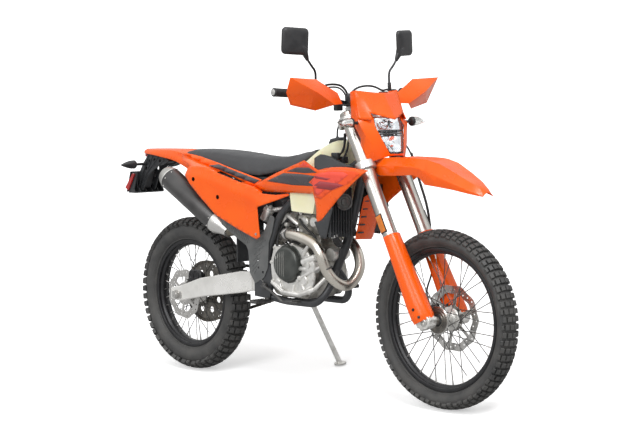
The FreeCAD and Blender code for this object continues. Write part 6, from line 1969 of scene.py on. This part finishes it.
# %% Shock
SHOCK_TOP, SHOCK_FOOT = Vector((690, 0, 738)), Vector((505, 0, 470))
TURNS, WIRE_STEPS, COIL_RADIUS = 9, 12, 26
shock_run = (SHOCK_FOOT - SHOCK_TOP).normalized()
tall = (SHOCK_FOOT - SHOCK_TOP).length
side_way, up_way = Vector(LEFT), shock_run.cross(Vector(LEFT))
spring_points = []
for step in range(TURNS * WIRE_STEPS + 1):
    angle = 2 * pi * step / WIRE_STEPS
    reach = 58 + (tall - 128) * step / (TURNS * WIRE_STEPS)
    spring_points.append(
        SHOCK_TOP + shock_run * reach + (side_way * cos(angle) + up_way * sin(angle)) * COIL_RADIUS)
bent_tube("shock_spring", spring_points, 4.6, "silencer_cap", "chassis", ["rear_shock"], sides=4)
airbox = bmesh.new()
add_plate(airbox, [(468, 700), (556, 648), (622, 664), (650, 726), (640, 772), (560, 796), (468, 800)], -54,
          54, 10, edge=6)
keep(airbox, "airbox_wall", "dark_plastic", "chassis", sharp=35)
damper = bmesh.new()
for outline in ([(-16, 0), (-16, 16), (16, 16), (16, 21), (40, 21), (42, 31), (54, 31), (56, 19), (150, 18),
                 (152, 0)],
                [(150, 0), (150, 8), (tall - 66, 8), (tall - 64, 31), (tall - 54, 31), (tall - 52, 18),
                 (tall + 14, 15), (tall + 14, 0)]):
    add_turned(damper, outline, SHOCK_TOP, shock_run, steps=32)
add_rod(damper, (600, -84, 742), (566, -88, 690), 21, sides=28, edge=4)
add_rod(damper, (676, -22, 742), (600, -78, 728), 10, sides=18, edge=2)
add_turned(damper, [(-4, 21), (-4, 24), (4, 24), (4, 21)], (590, -85, 727), (-34, -4, -52), steps=28)
add_bolt(damper, (600, -84, 744), (0.5, 0, 0.8), 7, 5)
add_rod(damper, SHOCK_TOP - Vector(LEFT) * 30, SHOCK_TOP + Vector(LEFT) * 30, 8, edge=1)
keep(damper, "damper_body", "rough_alloy", "chassis", sharp=35)
print("frame parts done")

# %% [markdown]
# ## Brakes, pegs and pedals
# Calipers are cast blocks with two pistons. The pegs are open steel frames with teeth. The
# pedal and the gear lever are bent rods.
# %% Calipers
rear_caliper = bmesh.new()
add_plate(rear_caliper, [(46, 396), (130, 400), (132, 436), (104, 449), (52, 446), (44, 424)], -77, -58, 8,
          edge=4)
add_plate(rear_caliper, [(50, 400), (128, 404), (128, 432), (100, 444), (54, 440)], -58, -47, 5, edge=2)
for x in (70, 106):
    add_turned(rear_caliper, [(0, 13), (2, 13), (2, 9), (0.5, 8), (0.5, 0)], (x, -77, 421), RIGHT, steps=24)
add_bolt(rear_caliper, (88, -77, 440), RIGHT, 4, 1.5)
keep(rear_caliper, "rear_brake_body", "black_metal", "chassis", ["rear_caliper"], sharp=35)
front_caliper = bmesh.new()
add_plate(
    front_caliper, [(-76, 14), (-70, 8), (-16, 8), (-12, 20), (-14, 84), (-24, 93), (-66, 92), (-77, 78)],
    52, 72, 8, edge=4)
add_plate(front_caliper, [(-72, 14), (-18, 14), (-18, 84), (-66, 88), (-73, 76)], 35, 52, 5, edge=2)
add_plate(front_caliper, [(-60, 9), (2, 9), (3, 23), (-20, 26), (-60, 23)], 60, 73, 3, edge=2)
for up in (32, 66):
    add_turned(front_caliper, [(0, 14), (1.4, 14), (1.4, 9), (0.4, 8), (0.4, 0)], (-46, 72, up), steps=24)
keep(front_caliper, "front_brake_body", "black_metal", "steering", ["front_caliper"], place=STEERED,
     sharp=35)

# %% Pegs, pedal and gear lever
pegs = bmesh.new()
for x in (592, 630):
    add_box(pegs, (x, 122, 353), (x + 4, 200, 366), 1)
    for tooth in range(9):
        y = 128 + tooth * 8.6
        add_box(pegs, (x, y - 2, 364), (x + 4, y + 2, 368), 0.6)
for y in (124, 150, 176, 198.5):
    add_box(pegs, (592, y - 2, 353), (634, y + 2, 364), 1)
add_box(pegs, (600, 108, 348), (624, 126, 372), 3)
keep(pegs, "toothed_pegs", "dark_steel", "chassis", ["footpegs"], sharp=35, both=True)
ARM_RADIUS = 6.5
ball = ((-1, 0), (-0.7, 0.7), (0, 1), (0.7, 0.7), (1, 0))
knee = [(ARM_RADIUS * reach, ARM_RADIUS * out) for reach, out in ball]
pedals, toe = bmesh.new(), bmesh.new()
for line in (((600, -127, 420), (660, -139, 400), (740, -152, 366), (822, -152, 372)),
             ((728, 118, 402), (768, 128, 398), (852, 132, 412))):
    for start, stop in zip(line, line[1:]):
        add_rod(pedals, start, stop, ARM_RADIUS, sides=14, edge=1)
        add_turned(pedals, knee, stop, steps=14)
add_box(pedals, (807, -165, 367), (837, -139, 374), 2)
for x in (810, 817, 824, 831):
    add_box(pedals, (x, -165, 373), (x + 3, -139, 379), 0.8)
add_rod(pedals, (600, -112, 420), (600, -132, 420), 13, sides=20, edge=1.5)
add_rod(pedals, (728, 94, 402), (728, 124, 402), 11, sides=20, edge=1.5)
keep(pedals, "pedal_and_lever", "dark_steel", "chassis", ["foot_controls"], sharp=35)
add_turned(toe,
           [(0, 0), (0, 7), (2, 8.8), (8, 8.8), (9, 7.8), (15, 7.8), (16, 8.8), (24, 8.8), (25, 7.8),
            (31, 7.8), (32, 8.8), (38, 8.8), (40, 7), (40, 0)],
           (852, 130, 412), steps=20)
keep(toe, "lever_toe", "black_rubber", "chassis", sharp=35)

# %% [markdown]
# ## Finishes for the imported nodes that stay
# Tubes, rails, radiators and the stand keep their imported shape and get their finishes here.
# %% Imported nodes
for node, finish in (("main_frame", "frame_paint"), ("subframe", "dark_plastic"),
                     ("radiators", "black_metal"), ("side_stand", "rough_alloy")):
    for place in frame["nodes"][node].material_slots:
        place.material = FINISHES[finish]
print("packed nodes finished")
